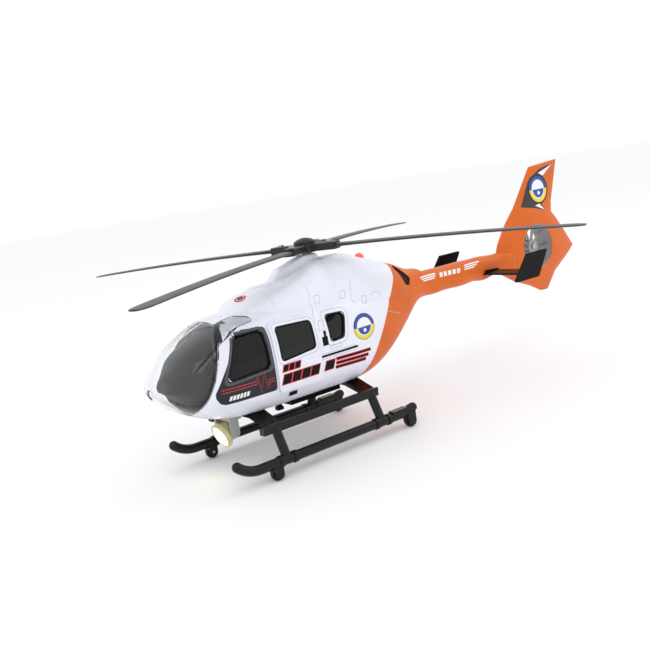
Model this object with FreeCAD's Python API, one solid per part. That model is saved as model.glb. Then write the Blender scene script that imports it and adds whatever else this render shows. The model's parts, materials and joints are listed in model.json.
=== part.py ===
import FreeCAD, Part
import math
import os

from FreeCAD import Vector

# Toy rescue helicopter with a motor-driven four-blade rotor, sliding cabin doors,
# a shrouded tail fan, a tilting searchlight and skids that roll on small wheels.
# Millimetres. +X is the nose, +Y is port, +Z is up. The rotor axis stands at
# x = 0, y = 0, and the wheels touch the ground at z = 0.

# ---------------------------------------------------------------- driving sizes

ROTOR_RADIUS = 250.0
HUB_Z = 179.0
REST_ANGLE = 26.0
BLADE_COUNT = 4
BLADE_CHORD = 18.0
BLADE_DROOP = 6.0
HUB_ARM_RADIUS = 33.0
HUB_HALF_HEIGHT = 4.0
HUB_ARM_HALF_WIDTH = 6.5
TANG_HALF_WIDTH = 4.3
TANG_HALF_HEIGHT = 1.2
BLADE_ROOT = 15.0
BLADE_SCREW_AT = 25.0

WALL = 2.0
CANOPY_WALL = 1.6
PRESS_GAP = 0.05

SHAFT_RADIUS = 2.5
SHAFT_BOTTOM = 100.0
MAST_HOLE_RADIUS = 4.0
RUNNING_GAP = 0.05
FRAME_PLATE_ZS = (104.0, 152.0)
FRAME_PLATE = 3.0
BUSH_RADIUS = 4.5

GEAR_MODULE = 0.6
GEAR_TEETH = 60
PINION_TEETH = 10
GEAR_Z = 141.0
GEAR_WIDTH = 4.0
MOTOR_RADIUS = 10.0
MOTOR_LENGTH = 25.0
MOTOR_SHAFT_RADIUS = 1.0

FAN_X = -317.0
FAN_Z = 126.5
DUCT_RADIUS = 25.0
FAN_RADIUS = 23.6
FAN_HUB_RADIUS = 8.0
FAN_BLADES = 10
FAN_PIN_RADIUS = 1.5

BOOM_HALF_WIDTH = 11.5
STABILIZER_Z = 112.0
STABILIZER_THICKNESS = 2.2
END_PLATE_Y = 62.6
END_PLATE_THICKNESS = 2.4

SKID_Y = 54.7
SKID_Z = 14.6
SKID_RADIUS = 4.4
RAIL_Y = 43.4
RAIL_Z = 41.0
STRUT_XS = (91.0, -16.0)
STRUT_RADIUS = 4.2
WHEEL_RADIUS = 6.0
WHEEL_WIDTH = 4.0
WHEEL_XS = (103.0, -50.0)
AXLE_RADIUS = 1.2

DOOR_TRAVEL = 44.0
DOOR_GAP = 0.5
DOOR_THICKNESS = 1.9
DOOR_SLOT_Z = 87.0
DOOR_PEG_X = 37.0
DOOR_PEG_RADIUS = 0.8

LAMP_X = 112.0
LAMP_Z = 37.5
LAMP_TILT = 20.0
LAMP_ARM_RADIUS = 4.2
LAMP_ARM_Y = 11.6
LAMP_ARM_THICKNESS = 2.0
LAMP_PIVOT_RADIUS = 1.5

BELLY_Z = 50.0
FLOOR_Z = 67.0
FLOOR_THICKNESS = 2.0
SEAT_BASE_HEIGHT = 6.0
BULKHEAD_X = 29.0
BULKHEAD_TOP = 105.5

PLATE_THICKNESS = 2.4
PLATE_HALF_LENGTH = 8.0
PLATE_SCREW_Y = 10.0
COVER_SCREW_X = 28.0
SCREW_RADIUS = 1.4
SCREW_HEAD_RADIUS = 2.6
SCREW_SINK = 1.5
SCREW_SHANK = 3.4

CELL_RADIUS = 5.15
CELL_Z = 57.6
CELL_YS = (-11.2, 0.0, 11.2)
CELL_XS = (6.0, 49.0)
CELL_BUTTON = 1.4
TRAY_XS = (1.5, 54.5)
TRAY_HALF_WIDTH = 19.5
BOARD_XS = (56.0, 86.0)
BOARD_YS = (-30.0, 8.0)
BOARD_Z = 60.5
BOARD_THICKNESS = 1.6
SWITCH_X = 65.4
SWITCH_Y = 15.0

# Lines of the fuselage and boom: station x, half width, top, belt height (where it
# is widest), bottom, and how square the section is (2 is an ellipse).
FUSELAGE_LINES = [
    (176.5, 5.0, 93.0, 88.5, 84.0, 2.0),
    (174.0, 15.0, 97.5, 88.5, 80.0, 2.0),
    (168.0, 25.5, 104.5, 88.5, 74.5, 2.1),
    (157.0, 35.5, 113.5, 88.5, 67.0, 2.2),
    (141.0, 42.0, 125.0, 88.5, 58.5, 2.4),
    (123.0, 44.5, 133.5, 89.0, 53.0, 2.6),
    (105.0, 45.0, 138.0, 90.0, 51.0, 2.8),
    (70.0, 45.0, 139.5, 90.0, 50.0, 2.9),
    (30.0, 45.0, 139.5, 90.0, 50.0, 2.9),
    (0.0, 45.0, 139.0, 90.0, 50.0, 2.9),
    (-25.0, 43.5, 138.0, 91.0, 50.5, 2.8),
    (-50.0, 39.5, 135.0, 94.0, 56.5, 2.6),
    (-75.0, 33.0, 132.0, 99.0, 71.0, 2.5),
    (-100.0, 24.5, 130.0, 107.0, 90.0, 2.4),
    (-120.0, 16.5, 130.0, 114.0, 102.0, 2.3),
    (-140.0, 13.0, 130.5, 117.5, 105.0, 2.3),
    (-200.0, BOOM_HALF_WIDTH, 130.5, 117.5, 105.0, 2.3),
    (-275.0, 10.5, 128.0, 116.5, 105.0, 2.3),
]

# Lines of the engine cowling that rises out of the cabin roof.
COWL_BELT_Z = 122.0
COWL_BOTTOM_Z = 113.0
COWL_SQUARENESS = 2.5
COWL_LINES = [
    (106.0, 4.0, 138.0),
    (95.0, 16.0, 144.0),
    (80.0, 25.0, 150.0),
    (64.0, 31.0, 153.5),
    (38.0, 34.5, 157.0),
    (15.0, 36.0, 163.0),
    (-2.0, 36.5, 168.5),
    (-30.0, 36.5, 168.5),
    (-48.0, 35.0, 163.5),
    (-72.0, 30.5, 155.0),
    (-97.0, 23.0, 146.0),
    (-118.0, 15.5, 137.5),
    (-140.0, 8.0, 128.0),
]

# Lines of the fin and fan shroud: height z, leading edge x, trailing edge x and
# half thickness.
TAIL_LINES = [
    (73.0, -327.0, -339.0, 3.0),
    (82.0, -309.0, -346.0, 6.0),
    (92.0, -283.0, -354.0, 9.0),
    (104.0, -262.0, -374.0, 11.0),
    (113.0, -258.0, -387.5, 12.0),
    (122.0, -256.5, -388.0, 12.0),
    (137.0, -264.0, -377.0, 12.0),
    (154.0, -277.0, -364.0, 10.5),
    (161.0, -283.0, -358.0, 8.5),
    (173.0, -294.5, -361.0, 5.5),
    (222.0, -333.5, -379.0, 3.6),
]

# Side-view lines that part the mouldings from one another, as (x, z) points.
COLOUR_SPLIT = [(-80, 190), (-83, 152), (-78, 137), (-67, 121), (-53, 105),
                (-39, 86), (-28, 70), (-14, 52), (-4, 30)]
CANOPY_SPLIT = [(154, 30), (152, 68), (138, 93), (127, 118), (119, 128), (112, 150)]
COWLING_SPLIT = [(130, 141), (90, 141), (66, 134.5), (7, 131.5), (-52, 110), (-110, 90)]
EYEBROW_OUTLINE = [(132, 117), (104, 130), (89, 131.5), (88, 135.5), (108, 140), (132, 140)]
EYEBROW_INNER_Y = 17.0
BEACON_X = -62.0
BEACON_RADIUS = 4.6
BEACON_STEM_RADIUS = 3.0
TAIL_LIGHT_X = -388.0
TAIL_LIGHT_Z = 117.0
TAIL_LIGHT_RADIUS = 4.2
TAIL_LIGHT_STEM_RADIUS = 2.9
EXHAUST_OUTLINE = [(-108, 130), (-103, 123.5), (-96, 126), (-86, 144), (-89, 147)]
CANOPY_TONGUE_END = [(80, 30), (80, 190)]

# Side-view outlines of the openings, as (x, z) points.
FRONT_WINDOW = [(129, 89.5), (112, 124), (86, 124), (86, 92)]
DOOR_WINDOW = [(75, 94.5), (75, 123), (39, 121.5), (39, 98)]
REAR_WINDOW = [(19.5, 98), (20, 121.5), (-1, 120.5), (5, 99)]
DOOR_OUTLINE = [(81, 67.5), (80.5, 127.5), (34, 126.5), (34.5, 66.5)]
WINDOW_CORNER = 3.5
DOOR_CORNER = 5.0
SECTION_POINTS = 20
STATION_SPACING = 22.0
EXHAUST_RECESS = 1.4


# ---------------------------------------------------------------- small helpers

def box(x0, x1, y0, y1, z0, z1):
    """Box between two corners."""
    return Part.makeBox(x1 - x0, y1 - y0, z1 - z0, Vector(x0, y0, z0))


def cylinder_z(radius, z0, z1, x=0.0, y=0.0):
    return Part.makeCylinder(radius, z1 - z0, Vector(x, y, z0), Vector(0, 0, 1))


def cylinder_y(radius, y0, y1, x, z):
    return Part.makeCylinder(radius, y1 - y0, Vector(x, y0, z), Vector(0, 1, 0))


def cylinder_x(radius, x0, x1, y, z):
    return Part.makeCylinder(radius, x1 - x0, Vector(x0, y, z), Vector(1, 0, 0))


def turned_z(shape, degrees, x=0.0, y=0.0):
    """Copy of a shape turned about a vertical axis."""
    copy = shape.copy()
    copy.rotate(Vector(x, y, 0), Vector(0, 0, 1), degrees)
    return copy


def turned_y(shape, degrees, x, z):
    """Copy of a shape turned about an axis that runs across the helicopter."""
    copy = shape.copy()
    copy.rotate(Vector(x, 0, z), Vector(0, 1, 0), degrees)
    return copy


def mirrored(shape):
    """Starboard copy of a port shape."""
    return shape.mirror(Vector(0, 0, 0), Vector(0, 1, 0))


def fuse_all(shapes):
    """One shape from several that touch or overlap."""
    whole = shapes[0]
    for shape in shapes[1:]:
        whole = whole.fuse(shape)
    return whole


def superellipse(angle, half_width, half_height, squareness):
    """Point of a superellipse at an angle, as (across, up)."""
    power = 2.0 / squareness
    across = math.copysign(abs(math.cos(angle)) ** power, math.cos(angle))
    up = math.copysign(abs(math.sin(angle)) ** power, math.sin(angle))
    return half_width * across, half_height * up


def closed_curve(points):
    """Smooth closed wire through points, with the same knots for every section."""
    curve = Part.BSplineCurve()
    knots = [index / len(points) for index in range(len(points) + 1)]
    curve.interpolate(Points=points, PeriodicFlag=True, Parameters=knots)
    return Part.Wire([curve.toShape()])


def column_slopes(positions, values):
    """Slopes of a smooth curve through values that never overshoots them."""
    steps = [(values[i + 1] - values[i]) / (positions[i + 1] - positions[i])
             for i in range(len(values) - 1)]
    slopes = [steps[0]]
    for before, after in zip(steps, steps[1:]):
        product = before * after
        slopes.append(2 * product / (before + after) if product > 0 else 0.0)
    return slopes + [steps[-1]]


def hermite(share, length, value0, slope0, value1, slope1):
    """Cubic between two values with given slopes."""
    square, cube = share ** 2, share ** 3
    return ((2 * cube - 3 * square + 1) * value0
            + (cube - 2 * square + share) * length * slope0
            + (3 * square - 2 * cube) * value1
            + (cube - square) * length * slope1)


def faired_lines(lines):
    """Lines with further stations worked out, so that none are far apart."""
    positions = [row[0] for row in lines]
    columns = list(zip(*lines))
    slopes = [column_slopes(positions, column) for column in columns]
    faired = [lines[0]]
    for index in range(len(lines) - 1):
        length = positions[index + 1] - positions[index]
        count = math.ceil(abs(length) / STATION_SPACING)
        for step in range(1, count + 1):
            share = step / count
            faired.append(tuple(
                hermite(share, length, column[index], slope[index],
                        column[index + 1], slope[index + 1])
                for column, slope in zip(columns, slopes)))
    return faired


def body_section(x, half_width, top, belt, bottom, squareness):
    """Upright cross-section whose upper and lower halves have their own heights."""
    points = []
    for step in range(SECTION_POINTS):
        angle = 2 * math.pi * step / SECTION_POINTS
        half_height = top - belt if math.sin(angle) >= 0 else belt - bottom
        across, up = superellipse(angle, half_width, half_height, squareness)
        points.append(Vector(x, across, belt + up))
    return closed_curve(points)


def rounded_wire(points, radius, y=0.0):
    """Closed side-view wire through (x, z) points, with each corner rounded."""
    corners = [Vector(x, y, z) for x, z in points]
    starts = []
    edges = []
    for index, corner in enumerate(corners):
        before = (corners[index - 1] - corner).normalize()
        after = (corners[(index + 1) % len(corners)] - corner).normalize()
        half_angle = before.getAngle(after) / 2
        reach = radius / math.tan(half_angle)
        start = corner + before * reach
        end = corner + after * reach
        inward = (before + after).normalize()
        middle = corner + inward * (radius / math.sin(half_angle) - radius)
        starts.append((start, end))
        edges.append(Part.Arc(start, middle, end).toShape())
    for index, (start, end) in enumerate(starts):
        next_start = starts[(index + 1) % len(starts)][0]
        edges.append(Part.makeLine(end, next_start))
    return Part.Wire(Part.__sortEdges__(edges))


def side_prism(points, y0, y1, radius=0.0):
    """Side-view outline pushed across the helicopter from y0 to y1."""
    if radius:
        wire = rounded_wire(points, radius, y0)
    else:
        wire = Part.makePolygon([Vector(x, y0, z) for x, z in points + points[:1]])
    return Part.Face(wire).extrude(Vector(0, y1 - y0, 0))


def bar_between(start, end, radius):
    """Round bar between two points."""
    path = end - start
    return Part.makeCylinder(radius, path.Length, start, path)


# ---------------------------------------------------------------- body surfaces

def fuselage(inset):
    """Fuselage and boom, with every surface moved in by inset."""
    sections = []
    for x, half_width, top, belt, bottom, squareness in faired_lines(FUSELAGE_LINES):
        nose_share = max(0.0, min(1.0, (x - 141.0) / 35.0))
        sections.append(body_section(
            x - inset * nose_share,
            max(half_width - inset, 1.0),
            max(top - inset, belt + 1.0),
            belt,
            min(bottom + inset, belt - 1.0),
            squareness,
        ))
    return Part.makeLoft(sections, True, False)


def cowl(inset):
    """Engine cowling that grows out of the cabin roof and ends on the boom."""
    sections = []
    for x, half_width, top in faired_lines(COWL_LINES):
        sections.append(body_section(
            x,
            max(half_width - inset, 1.0),
            top - inset,
            COWL_BELT_Z,
            COWL_BOTTOM_Z,
            COWL_SQUARENESS,
        ))
    return Part.makeLoft(sections, True, False)


def mast_fairing():
    """Narrow ridge on the cowling in front of the mast."""
    outline = [(46, 146), (45, 156), (36, 165), (7, 173.4), (-8, 173.4), (-16, 160), (-10, 146)]
    ridge = side_prism(outline, -5.5, 5.5, 3.0)
    return ridge.makeFillet(2.0, [edge for edge in ridge.Edges if abs(edge.CenterOfMass.y) > 5.4])


def tail_section(z, leading_x, trailing_x, half_thickness, inset):
    """Level cross-section of the fin or the fan shroud."""
    centre_x = (leading_x + trailing_x) / 2
    half_length = (leading_x - trailing_x) / 2 - inset
    points = []
    for step in range(SECTION_POINTS):
        angle = 2 * math.pi * step / SECTION_POINTS
        along, across = superellipse(angle, half_length, half_thickness - inset, 2.6)
        points.append(Vector(centre_x + along, across, z))
    return closed_curve(points)


def fin_and_shroud(inset):
    """Fin standing on the fan shroud, with straight edges between its stations."""
    lines = TAIL_LINES if inset == 0 else TAIL_LINES[1:]
    sections = [tail_section(z, lead, trail, thick, inset) for z, lead, trail, thick in lines]
    solid = Part.makeLoft(sections, True, True)
    top_z = 218.0 - inset
    slanted_top = side_prism(
        [(-320, top_z - 3.0), (-400, top_z + 3.5), (-400, 260), (-320, 260)], -30, 30)
    return solid.cut(slanted_top)


def outer_body():
    """Whole outside of the body, from the nose to the fin."""
    return fuse_all([fuselage(0), cowl(0), mast_fairing(), fin_and_shroud(0)])


def inner_body():
    """Hollow inside of the body."""
    boom_bore = fuselage(WALL).common(box(-262, 200, -60, 60, 0, 200))
    duct_wall = cylinder_y(DUCT_RADIUS + WALL, -20, 20, FAN_X, FAN_Z)
    tail_room = fin_and_shroud(WALL).cut(duct_wall)
    return fuse_all([boom_bore, cowl(WALL), tail_room])


def region_ahead(split):
    """Everything in front of a side-view line."""
    first, last = split[0], split[-1]
    return side_prism(split + [(260, last[1]), (260, first[1])], -80, 80)


def region_above(split):
    """Everything above a side-view line that runs aft."""
    first, last = split[0], split[-1]
    return side_prism(split + [(last[0], 240), (first[0], 240)], -80, 80)


def half_space(port):
    """The port or the starboard half."""
    return box(-450, 300, 0, 90, -10, 300) if port else box(-450, 300, -90, 0, -10, 300)


def canopy_region():
    """Room that the canopy fills: the nose, and a tongue over each front door."""
    tongue = side_prism(EYEBROW_OUTLINE, EYEBROW_INNER_Y, 60, 2.0)
    return fuse_all([region_ahead(CANOPY_SPLIT), tongue, mirrored(tongue)])


# ---------------------------------------------------------------- shell mouldings

def shell_holes():
    """Openings through the cabin walls, on both sides and in the belly."""
    half_slot = DOOR_PEG_RADIUS + 0.3
    slot = box(DOOR_PEG_X - DOOR_TRAVEL - 3, DOOR_PEG_X + 3, 30, 60,
               DOOR_SLOT_Z - half_slot, DOOR_SLOT_Z + half_slot)
    doorway = side_prism([(77, 70.5), (77, 123.5), (38, 122.5), (38, 70.5)], 30, 60, 4.0)
    windows = [side_prism(outline, 30, 60, WINDOW_CORNER) for outline in (FRONT_WINDOW, REAR_WINDOW)]
    port = [slot, doorway, door_latch(30, 60, PRESS_GAP), door_catch(30, 60, PRESS_GAP)] + windows
    battery_hatch = box(3, 53, -18, 18, 40, 60)
    switch_slot = box(SWITCH_X - 5.4, SWITCH_X + 6.6, SWITCH_Y - 3.0, SWITCH_Y + 3.0, 40, 60)
    middle = [battery_hatch, switch_slot] + screw_holes()
    return port + [mirrored(hole) for hole in port] + middle


def screw_holes():
    """Holes in the belly for the screws of the cross plates."""
    return [cylinder_z(SCREW_RADIUS + PRESS_GAP, 40, 60, x, y)
            for x in STRUT_XS for y in (PLATE_SCREW_Y, -PLATE_SCREW_Y)]


def make_cabin(white):
    """Both white cabin halves in one, with their openings."""
    cabin = white.cut(region_above(COWLING_SPLIT))
    for hole in shell_holes():
        cabin = cabin.cut(hole)
    return cabin


def make_cowling(white):
    """White cowling with holes for the mast and the beacon."""
    cowling = white.common(region_above(COWLING_SPLIT))
    mast_hole = cylinder_z(MAST_HOLE_RADIUS, 150, 190)
    beacon_hole = cylinder_z(BEACON_STEM_RADIUS + PRESS_GAP, 150, 175, BEACON_X)
    return cowling.cut(mast_hole).cut(beacon_hole)


def make_tail(shell):
    """Both orange tail halves in one, with the fan duct and the sockets."""
    tail = shell.cut(region_ahead(COLOUR_SPLIT))
    for cutter in tail_holes():
        tail = tail.cut(cutter)
    return tail


def make_canopy(outside):
    """Clear nose with a tongue over each front door."""
    inside = fuselage(CANOPY_WALL).fuse(cowl(CANOPY_WALL))
    clear = outside.common(region_ahead(CANOPY_TONGUE_END)).cut(inside)
    return largest_solid(clear.common(canopy_region()))


def largest_solid(shape):
    """The biggest piece of a shape, without crumbs."""
    return max(shape.Solids, key=lambda solid: solid.Volume)


# ---------------------------------------------------------------- tail pieces

def tail_holes():
    """Sockets in the tail for the stabilizer, the tail light, the exhausts and screws."""
    half_slot = STABILIZER_THICKNESS / 2 + PRESS_GAP
    stabilizer_slot = box(-247, -221, -30, 30, STABILIZER_Z - half_slot, STABILIZER_Z + half_slot)
    light_socket = cylinder_x(TAIL_LIGHT_STEM_RADIUS + PRESS_GAP, -400, -380, 0, TAIL_LIGHT_Z)
    duct = cylinder_y(DUCT_RADIUS, -30, 30, FAN_X, FAN_Z)
    exhaust = side_prism(EXHAUST_OUTLINE, 4, 40, 2.0)
    return [stabilizer_slot, light_socket, duct, exhaust, mirrored(exhaust)] + screw_holes()


def make_tail_fan():
    """Fan with flat pitched blades round a thick hub."""
    hub = cylinder_y(FAN_HUB_RADIUS, -4.0, 4.0, FAN_X, FAN_Z)
    blade = box(FAN_HUB_RADIUS - 1.5, FAN_RADIUS, -0.7, 0.7, -3.4, 3.4)
    blade.rotate(Vector(0, 0, 0), Vector(1, 0, 0), 55)
    blades = []
    for index in range(FAN_BLADES):
        copy = blade.copy()
        copy.rotate(Vector(0, 0, 0), Vector(0, 1, 0), 360.0 / FAN_BLADES * index)
        copy.translate(Vector(FAN_X, 0, FAN_Z))
        blades.append(copy)
    fan = fuse_all([hub] + blades)
    return fan.cut(cylinder_y(FAN_PIN_RADIUS + RUNNING_GAP, -10, 10, FAN_X, FAN_Z))


def fan_spokes():
    """Three spokes and a boss that hold the fan's pin, moulded with a tail half."""
    boss = cylinder_y(5.0, -9.0, -5.0, FAN_X, FAN_Z)
    spokes = []
    for index in range(3):
        spoke = box(2.0, DUCT_RADIUS + 1.0, -8.6, -6.2, -1.4, 1.4)
        spoke.rotate(Vector(0, 0, 0), Vector(0, 1, 0), 120.0 * index + 30)
        spoke.translate(Vector(FAN_X, 0, FAN_Z))
        spokes.append(spoke)
    return fuse_all([boss] + spokes).cut(cylinder_y(FAN_PIN_RADIUS, -20, 20, FAN_X, FAN_Z))


def make_fan_pin():
    """Pin pressed into the boss, with a head outside the fan."""
    shank = cylinder_y(FAN_PIN_RADIUS, -9.0, 4.6, FAN_X, FAN_Z)
    head = cylinder_y(3.2, 4.3, 5.8, FAN_X, FAN_Z)
    return shank.fuse(head)


def make_stabilizer():
    """Level tailplane that passes through the boom."""
    tip_y = END_PLATE_Y - END_PLATE_THICKNESS / 2
    half = STABILIZER_THICKNESS / 2
    plate = box(-246.8, -221.2, -tip_y, tip_y, STABILIZER_Z - half, STABILIZER_Z + half)
    return plate.makeFillet(0.9, [edge for edge in plate.Edges if abs(edge.CenterOfMass.y) < 1])


def make_end_plate(side):
    """Swept upright plate on the tip of the tailplane."""
    outline = [(-209, 105), (-247.5, 105), (-265.5, 131.5), (-232.5, 131.5)]
    inner_y = END_PLATE_Y - END_PLATE_THICKNESS / 2
    plate = side_prism(outline, inner_y, inner_y + END_PLATE_THICKNESS, 1.5)
    return plate if side > 0 else mirrored(plate)


# ---------------------------------------------------------------- rotor and drive

def make_shaft():
    """Shaft from below the lower bush up into the cap."""
    return cylinder_z(SHAFT_RADIUS, SHAFT_BOTTOM, HUB_Z + 5.0)


def make_bushes():
    """Flanged bushes in the two gearbox plates."""
    bushes = []
    for z in FRAME_PLATE_ZS:
        top = z + FRAME_PLATE
        sleeve = cylinder_z(BUSH_RADIUS, z, top).fuse(cylinder_z(BUSH_RADIUS + 1.5, top, top + 1.2))
        bushes.append(sleeve.cut(cylinder_z(SHAFT_RADIUS + RUNNING_GAP, z - 1, z + 6)))
    return Part.makeCompound(bushes)


def gear(teeth, x, first_angle):
    """Spur gear blank with straight-flanked teeth."""
    pitch = GEAR_MODULE * teeth / 2
    root = pitch - 1.2 * GEAR_MODULE
    tip = pitch + 0.9 * GEAR_MODULE
    step = 2 * math.pi / teeth
    points = []
    for index in range(teeth):
        centre = math.radians(first_angle) + index * step
        for radius, share in ((root, -0.36), (tip, -0.11), (tip, 0.11), (root, 0.36)):
            angle = centre + share * step
            points.append(Vector(x + radius * math.cos(angle), radius * math.sin(angle), GEAR_Z))
    face = Part.Face(Part.makePolygon(points + points[:1]))
    return face.extrude(Vector(0, 0, GEAR_WIDTH))


def pinion_x():
    """Distance from the rotor shaft to the motor shaft."""
    return GEAR_MODULE * (GEAR_TEETH + PINION_TEETH) / 2


def make_rotor_gear():
    """Large gear pressed on the shaft, lightened by five round windows."""
    blank = gear(GEAR_TEETH, 0.0, 0.0)
    boss = cylinder_z(6.0, GEAR_Z - 3.0, GEAR_Z)
    windows = []
    for index in range(5):
        windows.append(turned_z(cylinder_z(3.4, GEAR_Z - 1, GEAR_Z + GEAR_WIDTH + 1, 11.0), 72.0 * index))
    body = blank.fuse(boss)
    for window in windows:
        body = body.cut(window)
    return body.cut(cylinder_z(SHAFT_RADIUS, GEAR_Z - 5, GEAR_Z + GEAR_WIDTH + 1))


def make_pinion():
    """Small gear on the motor's shaft, turned so that its teeth mesh."""
    half_tooth = 180.0 / PINION_TEETH
    wheel = gear(PINION_TEETH, pinion_x(), 180.0 + half_tooth)
    bore_radius = MOTOR_SHAFT_RADIUS + RUNNING_GAP
    return wheel.cut(cylinder_z(bore_radius, GEAR_Z - 1, GEAR_Z + GEAR_WIDTH + 1, pinion_x()))


def make_motor():
    """Small can motor whose shaft carries the pinion."""
    x = pinion_x()
    can_top = GEAR_Z - 4.0
    can_bottom = can_top - MOTOR_LENGTH
    can = cylinder_z(MOTOR_RADIUS, can_bottom, can_top, x)
    flats = box(x - 12, x + 12, -7.6, 7.6, can_bottom, can_top)
    nose = cylinder_z(3.0, can_top, can_top + 1.5, x)
    tail = cylinder_z(4.0, can_bottom - 2.0, can_bottom, x)
    shaft = cylinder_z(MOTOR_SHAFT_RADIUS, can_top + 1.5, GEAR_Z + GEAR_WIDTH, x)
    return fuse_all([can.common(flats), nose, tail, shaft])


def make_gearbox_frame():
    """Frame with two bearing plates joined by a rear wall and a motor cup."""
    low, high = FRAME_PLATE_ZS
    plates = []
    for z in FRAME_PLATE_ZS:
        plate = box(-26, 12, -14, 14, z, z + FRAME_PLATE)
        plates.append(plate.cut(cylinder_z(BUSH_RADIUS, z - 1, z + FRAME_PLATE + 1)))
    wall = box(-26, -23, -14, 14, low, high + FRAME_PLATE)
    x = pinion_x()
    cup = cylinder_z(MOTOR_RADIUS + 2.0, 106.0, 118.0, x)
    cup = cup.cut(cylinder_z(MOTOR_RADIUS + 0.15, 112.0, 130, x))
    cup = cup.cut(cylinder_z(MOTOR_RADIUS - 5.0, 100, 130, x))
    arm = box(11.0, x - 9.0, -6, 6, low, low + FRAME_PLATE)
    return fuse_all(plates + [wall, arm, cup])


def make_hub():
    """Rotor head with four arms, each slotted for a blade's tang."""
    centre = cylinder_z(11.0, HUB_Z - HUB_HALF_HEIGHT, HUB_Z + HUB_HALF_HEIGHT)
    collar = cylinder_z(6.0, HUB_Z - HUB_HALF_HEIGHT - 0.9, HUB_Z - HUB_HALF_HEIGHT)
    arm = box(4.0, HUB_ARM_RADIUS, -HUB_ARM_HALF_WIDTH, HUB_ARM_HALF_WIDTH, HUB_Z - 3.5, HUB_Z + 3.5)
    arm = arm.makeFillet(1.4, [edge for edge in arm.Edges if abs(edge.CenterOfMass.x - 18.5) < 1])
    arms = [turned_z(arm, REST_ANGLE + 90.0 * index) for index in range(BLADE_COUNT)]
    hub = fuse_all([centre, collar] + arms)
    slot_half_height = TANG_HALF_HEIGHT + PRESS_GAP
    tang_slot = box(BLADE_ROOT, HUB_ARM_RADIUS + 1, -TANG_HALF_WIDTH - 0.2, TANG_HALF_WIDTH + 0.2,
                    HUB_Z - slot_half_height, HUB_Z + slot_half_height)
    screw_hole = cylinder_z(SCREW_RADIUS + 0.1, HUB_Z - 3.0, HUB_Z + 6, BLADE_SCREW_AT)
    for index in range(BLADE_COUNT):
        hub = hub.cut(turned_z(tang_slot, REST_ANGLE + 90.0 * index))
        hub = hub.cut(turned_z(screw_hole, REST_ANGLE + 90.0 * index))
    return hub.cut(cylinder_z(SHAFT_RADIUS, HUB_Z - 10, HUB_Z + 10))


def blade_section(radius, chord, thickness):
    """Lens-shaped section of a blade, drooping with its distance out."""
    droop = BLADE_DROOP * ((radius - HUB_ARM_RADIUS) / (ROTOR_RADIUS - HUB_ARM_RADIUS)) ** 2
    points = []
    for step in range(16):
        angle = 2 * math.pi * step / 16
        across, up = superellipse(angle, chord / 2, thickness / 2, 2.3)
        points.append(Vector(radius, across, HUB_Z + up - droop))
    return closed_curve(points)


def make_blade(index):
    """Thin drooping blade with a flat tang that fits the rotor head."""
    stations = [
        (HUB_ARM_RADIUS + 0.2, 12.0, 4.0),
        (42.0, 14.5, 3.4),
        (55.0, BLADE_CHORD - 0.5, 3.0),
        (75.0, BLADE_CHORD, 2.8),
        (180.0, BLADE_CHORD, 2.2),
        (236.0, BLADE_CHORD, 1.8),
        (246.0, BLADE_CHORD - 3.0, 1.6),
        (ROTOR_RADIUS, 9.0, 1.2),
    ]
    foil = Part.makeLoft([blade_section(*row) for row in faired_lines(stations)], True, False)
    tang = box(BLADE_ROOT + 0.2, HUB_ARM_RADIUS + 1.2, -TANG_HALF_WIDTH, TANG_HALF_WIDTH,
               HUB_Z - TANG_HALF_HEIGHT, HUB_Z + TANG_HALF_HEIGHT)
    tang = tang.cut(cylinder_z(SCREW_RADIUS + 0.2, HUB_Z - 5, HUB_Z + 5, BLADE_SCREW_AT))
    return turned_z(foil.fuse(tang), REST_ANGLE + 90.0 * index)


def make_blade_screws():
    """Four screws that hold the blades' tangs."""
    screws = []
    for index in range(BLADE_COUNT):
        shank = cylinder_z(SCREW_RADIUS, HUB_Z - 2.8, HUB_Z + 3.5, BLADE_SCREW_AT)
        head = cylinder_z(SCREW_HEAD_RADIUS + 0.2, HUB_Z + 3.5, HUB_Z + 5.0, BLADE_SCREW_AT)
        screws.append(turned_z(shank.fuse(head), REST_ANGLE + 90.0 * index))
    return Part.makeCompound(screws)


def make_hub_cap():
    """Low domed cap over the shaft's end."""
    dome = Part.makeSphere(16.0, Vector(0, 0, HUB_Z - 6.5))
    disc = cylinder_z(10.0, HUB_Z + HUB_HALF_HEIGHT, HUB_Z + 10.0)
    return dome.common(disc).cut(cylinder_z(SHAFT_RADIUS + 0.1, HUB_Z, HUB_Z + 5.2))


# ---------------------------------------------------------------- doors and windows

def make_sliding_door(side):
    """Door skin that follows the cabin side just outside it, with its runner."""
    outline = side_prism(DOOR_OUTLINE, 20, 70, DOOR_CORNER)
    window = side_prism(DOOR_WINDOW, 20, 70, WINDOW_CORNER)
    block = fuselage(-DOOR_GAP - DOOR_THICKNESS).common(outline)
    door = block.cut(fuselage(-DOOR_GAP)).cut(window)
    peg = cylinder_y(DOOR_PEG_RADIUS, 41.2, 45.9, DOOR_PEG_X, DOOR_SLOT_Z)
    head = cylinder_y(2.8, 39.4, 41.4, DOOR_PEG_X, DOOR_SLOT_Z)
    door = fuse_all([largest_solid(door), peg, head])
    return door if side > 0 else mirrored(door)


def pane(outline, near, far, grow):
    """Window pane between two insets of the fuselage, grown beyond its outline."""
    centre_x = sum(x for x, z in outline) / len(outline)
    centre_z = sum(z for x, z in outline) / len(outline)
    grown = []
    for x, z in outline:
        outward_x = math.copysign(1.0, x - centre_x)
        outward_z = math.copysign(1.0, z - centre_z)
        grown.append((x + grow * outward_x, z + grow * outward_z))
    block = fuselage(near).common(side_prism(grown, 20, 70, WINDOW_CORNER + grow))
    return largest_solid(block.cut(fuselage(far)))


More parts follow.
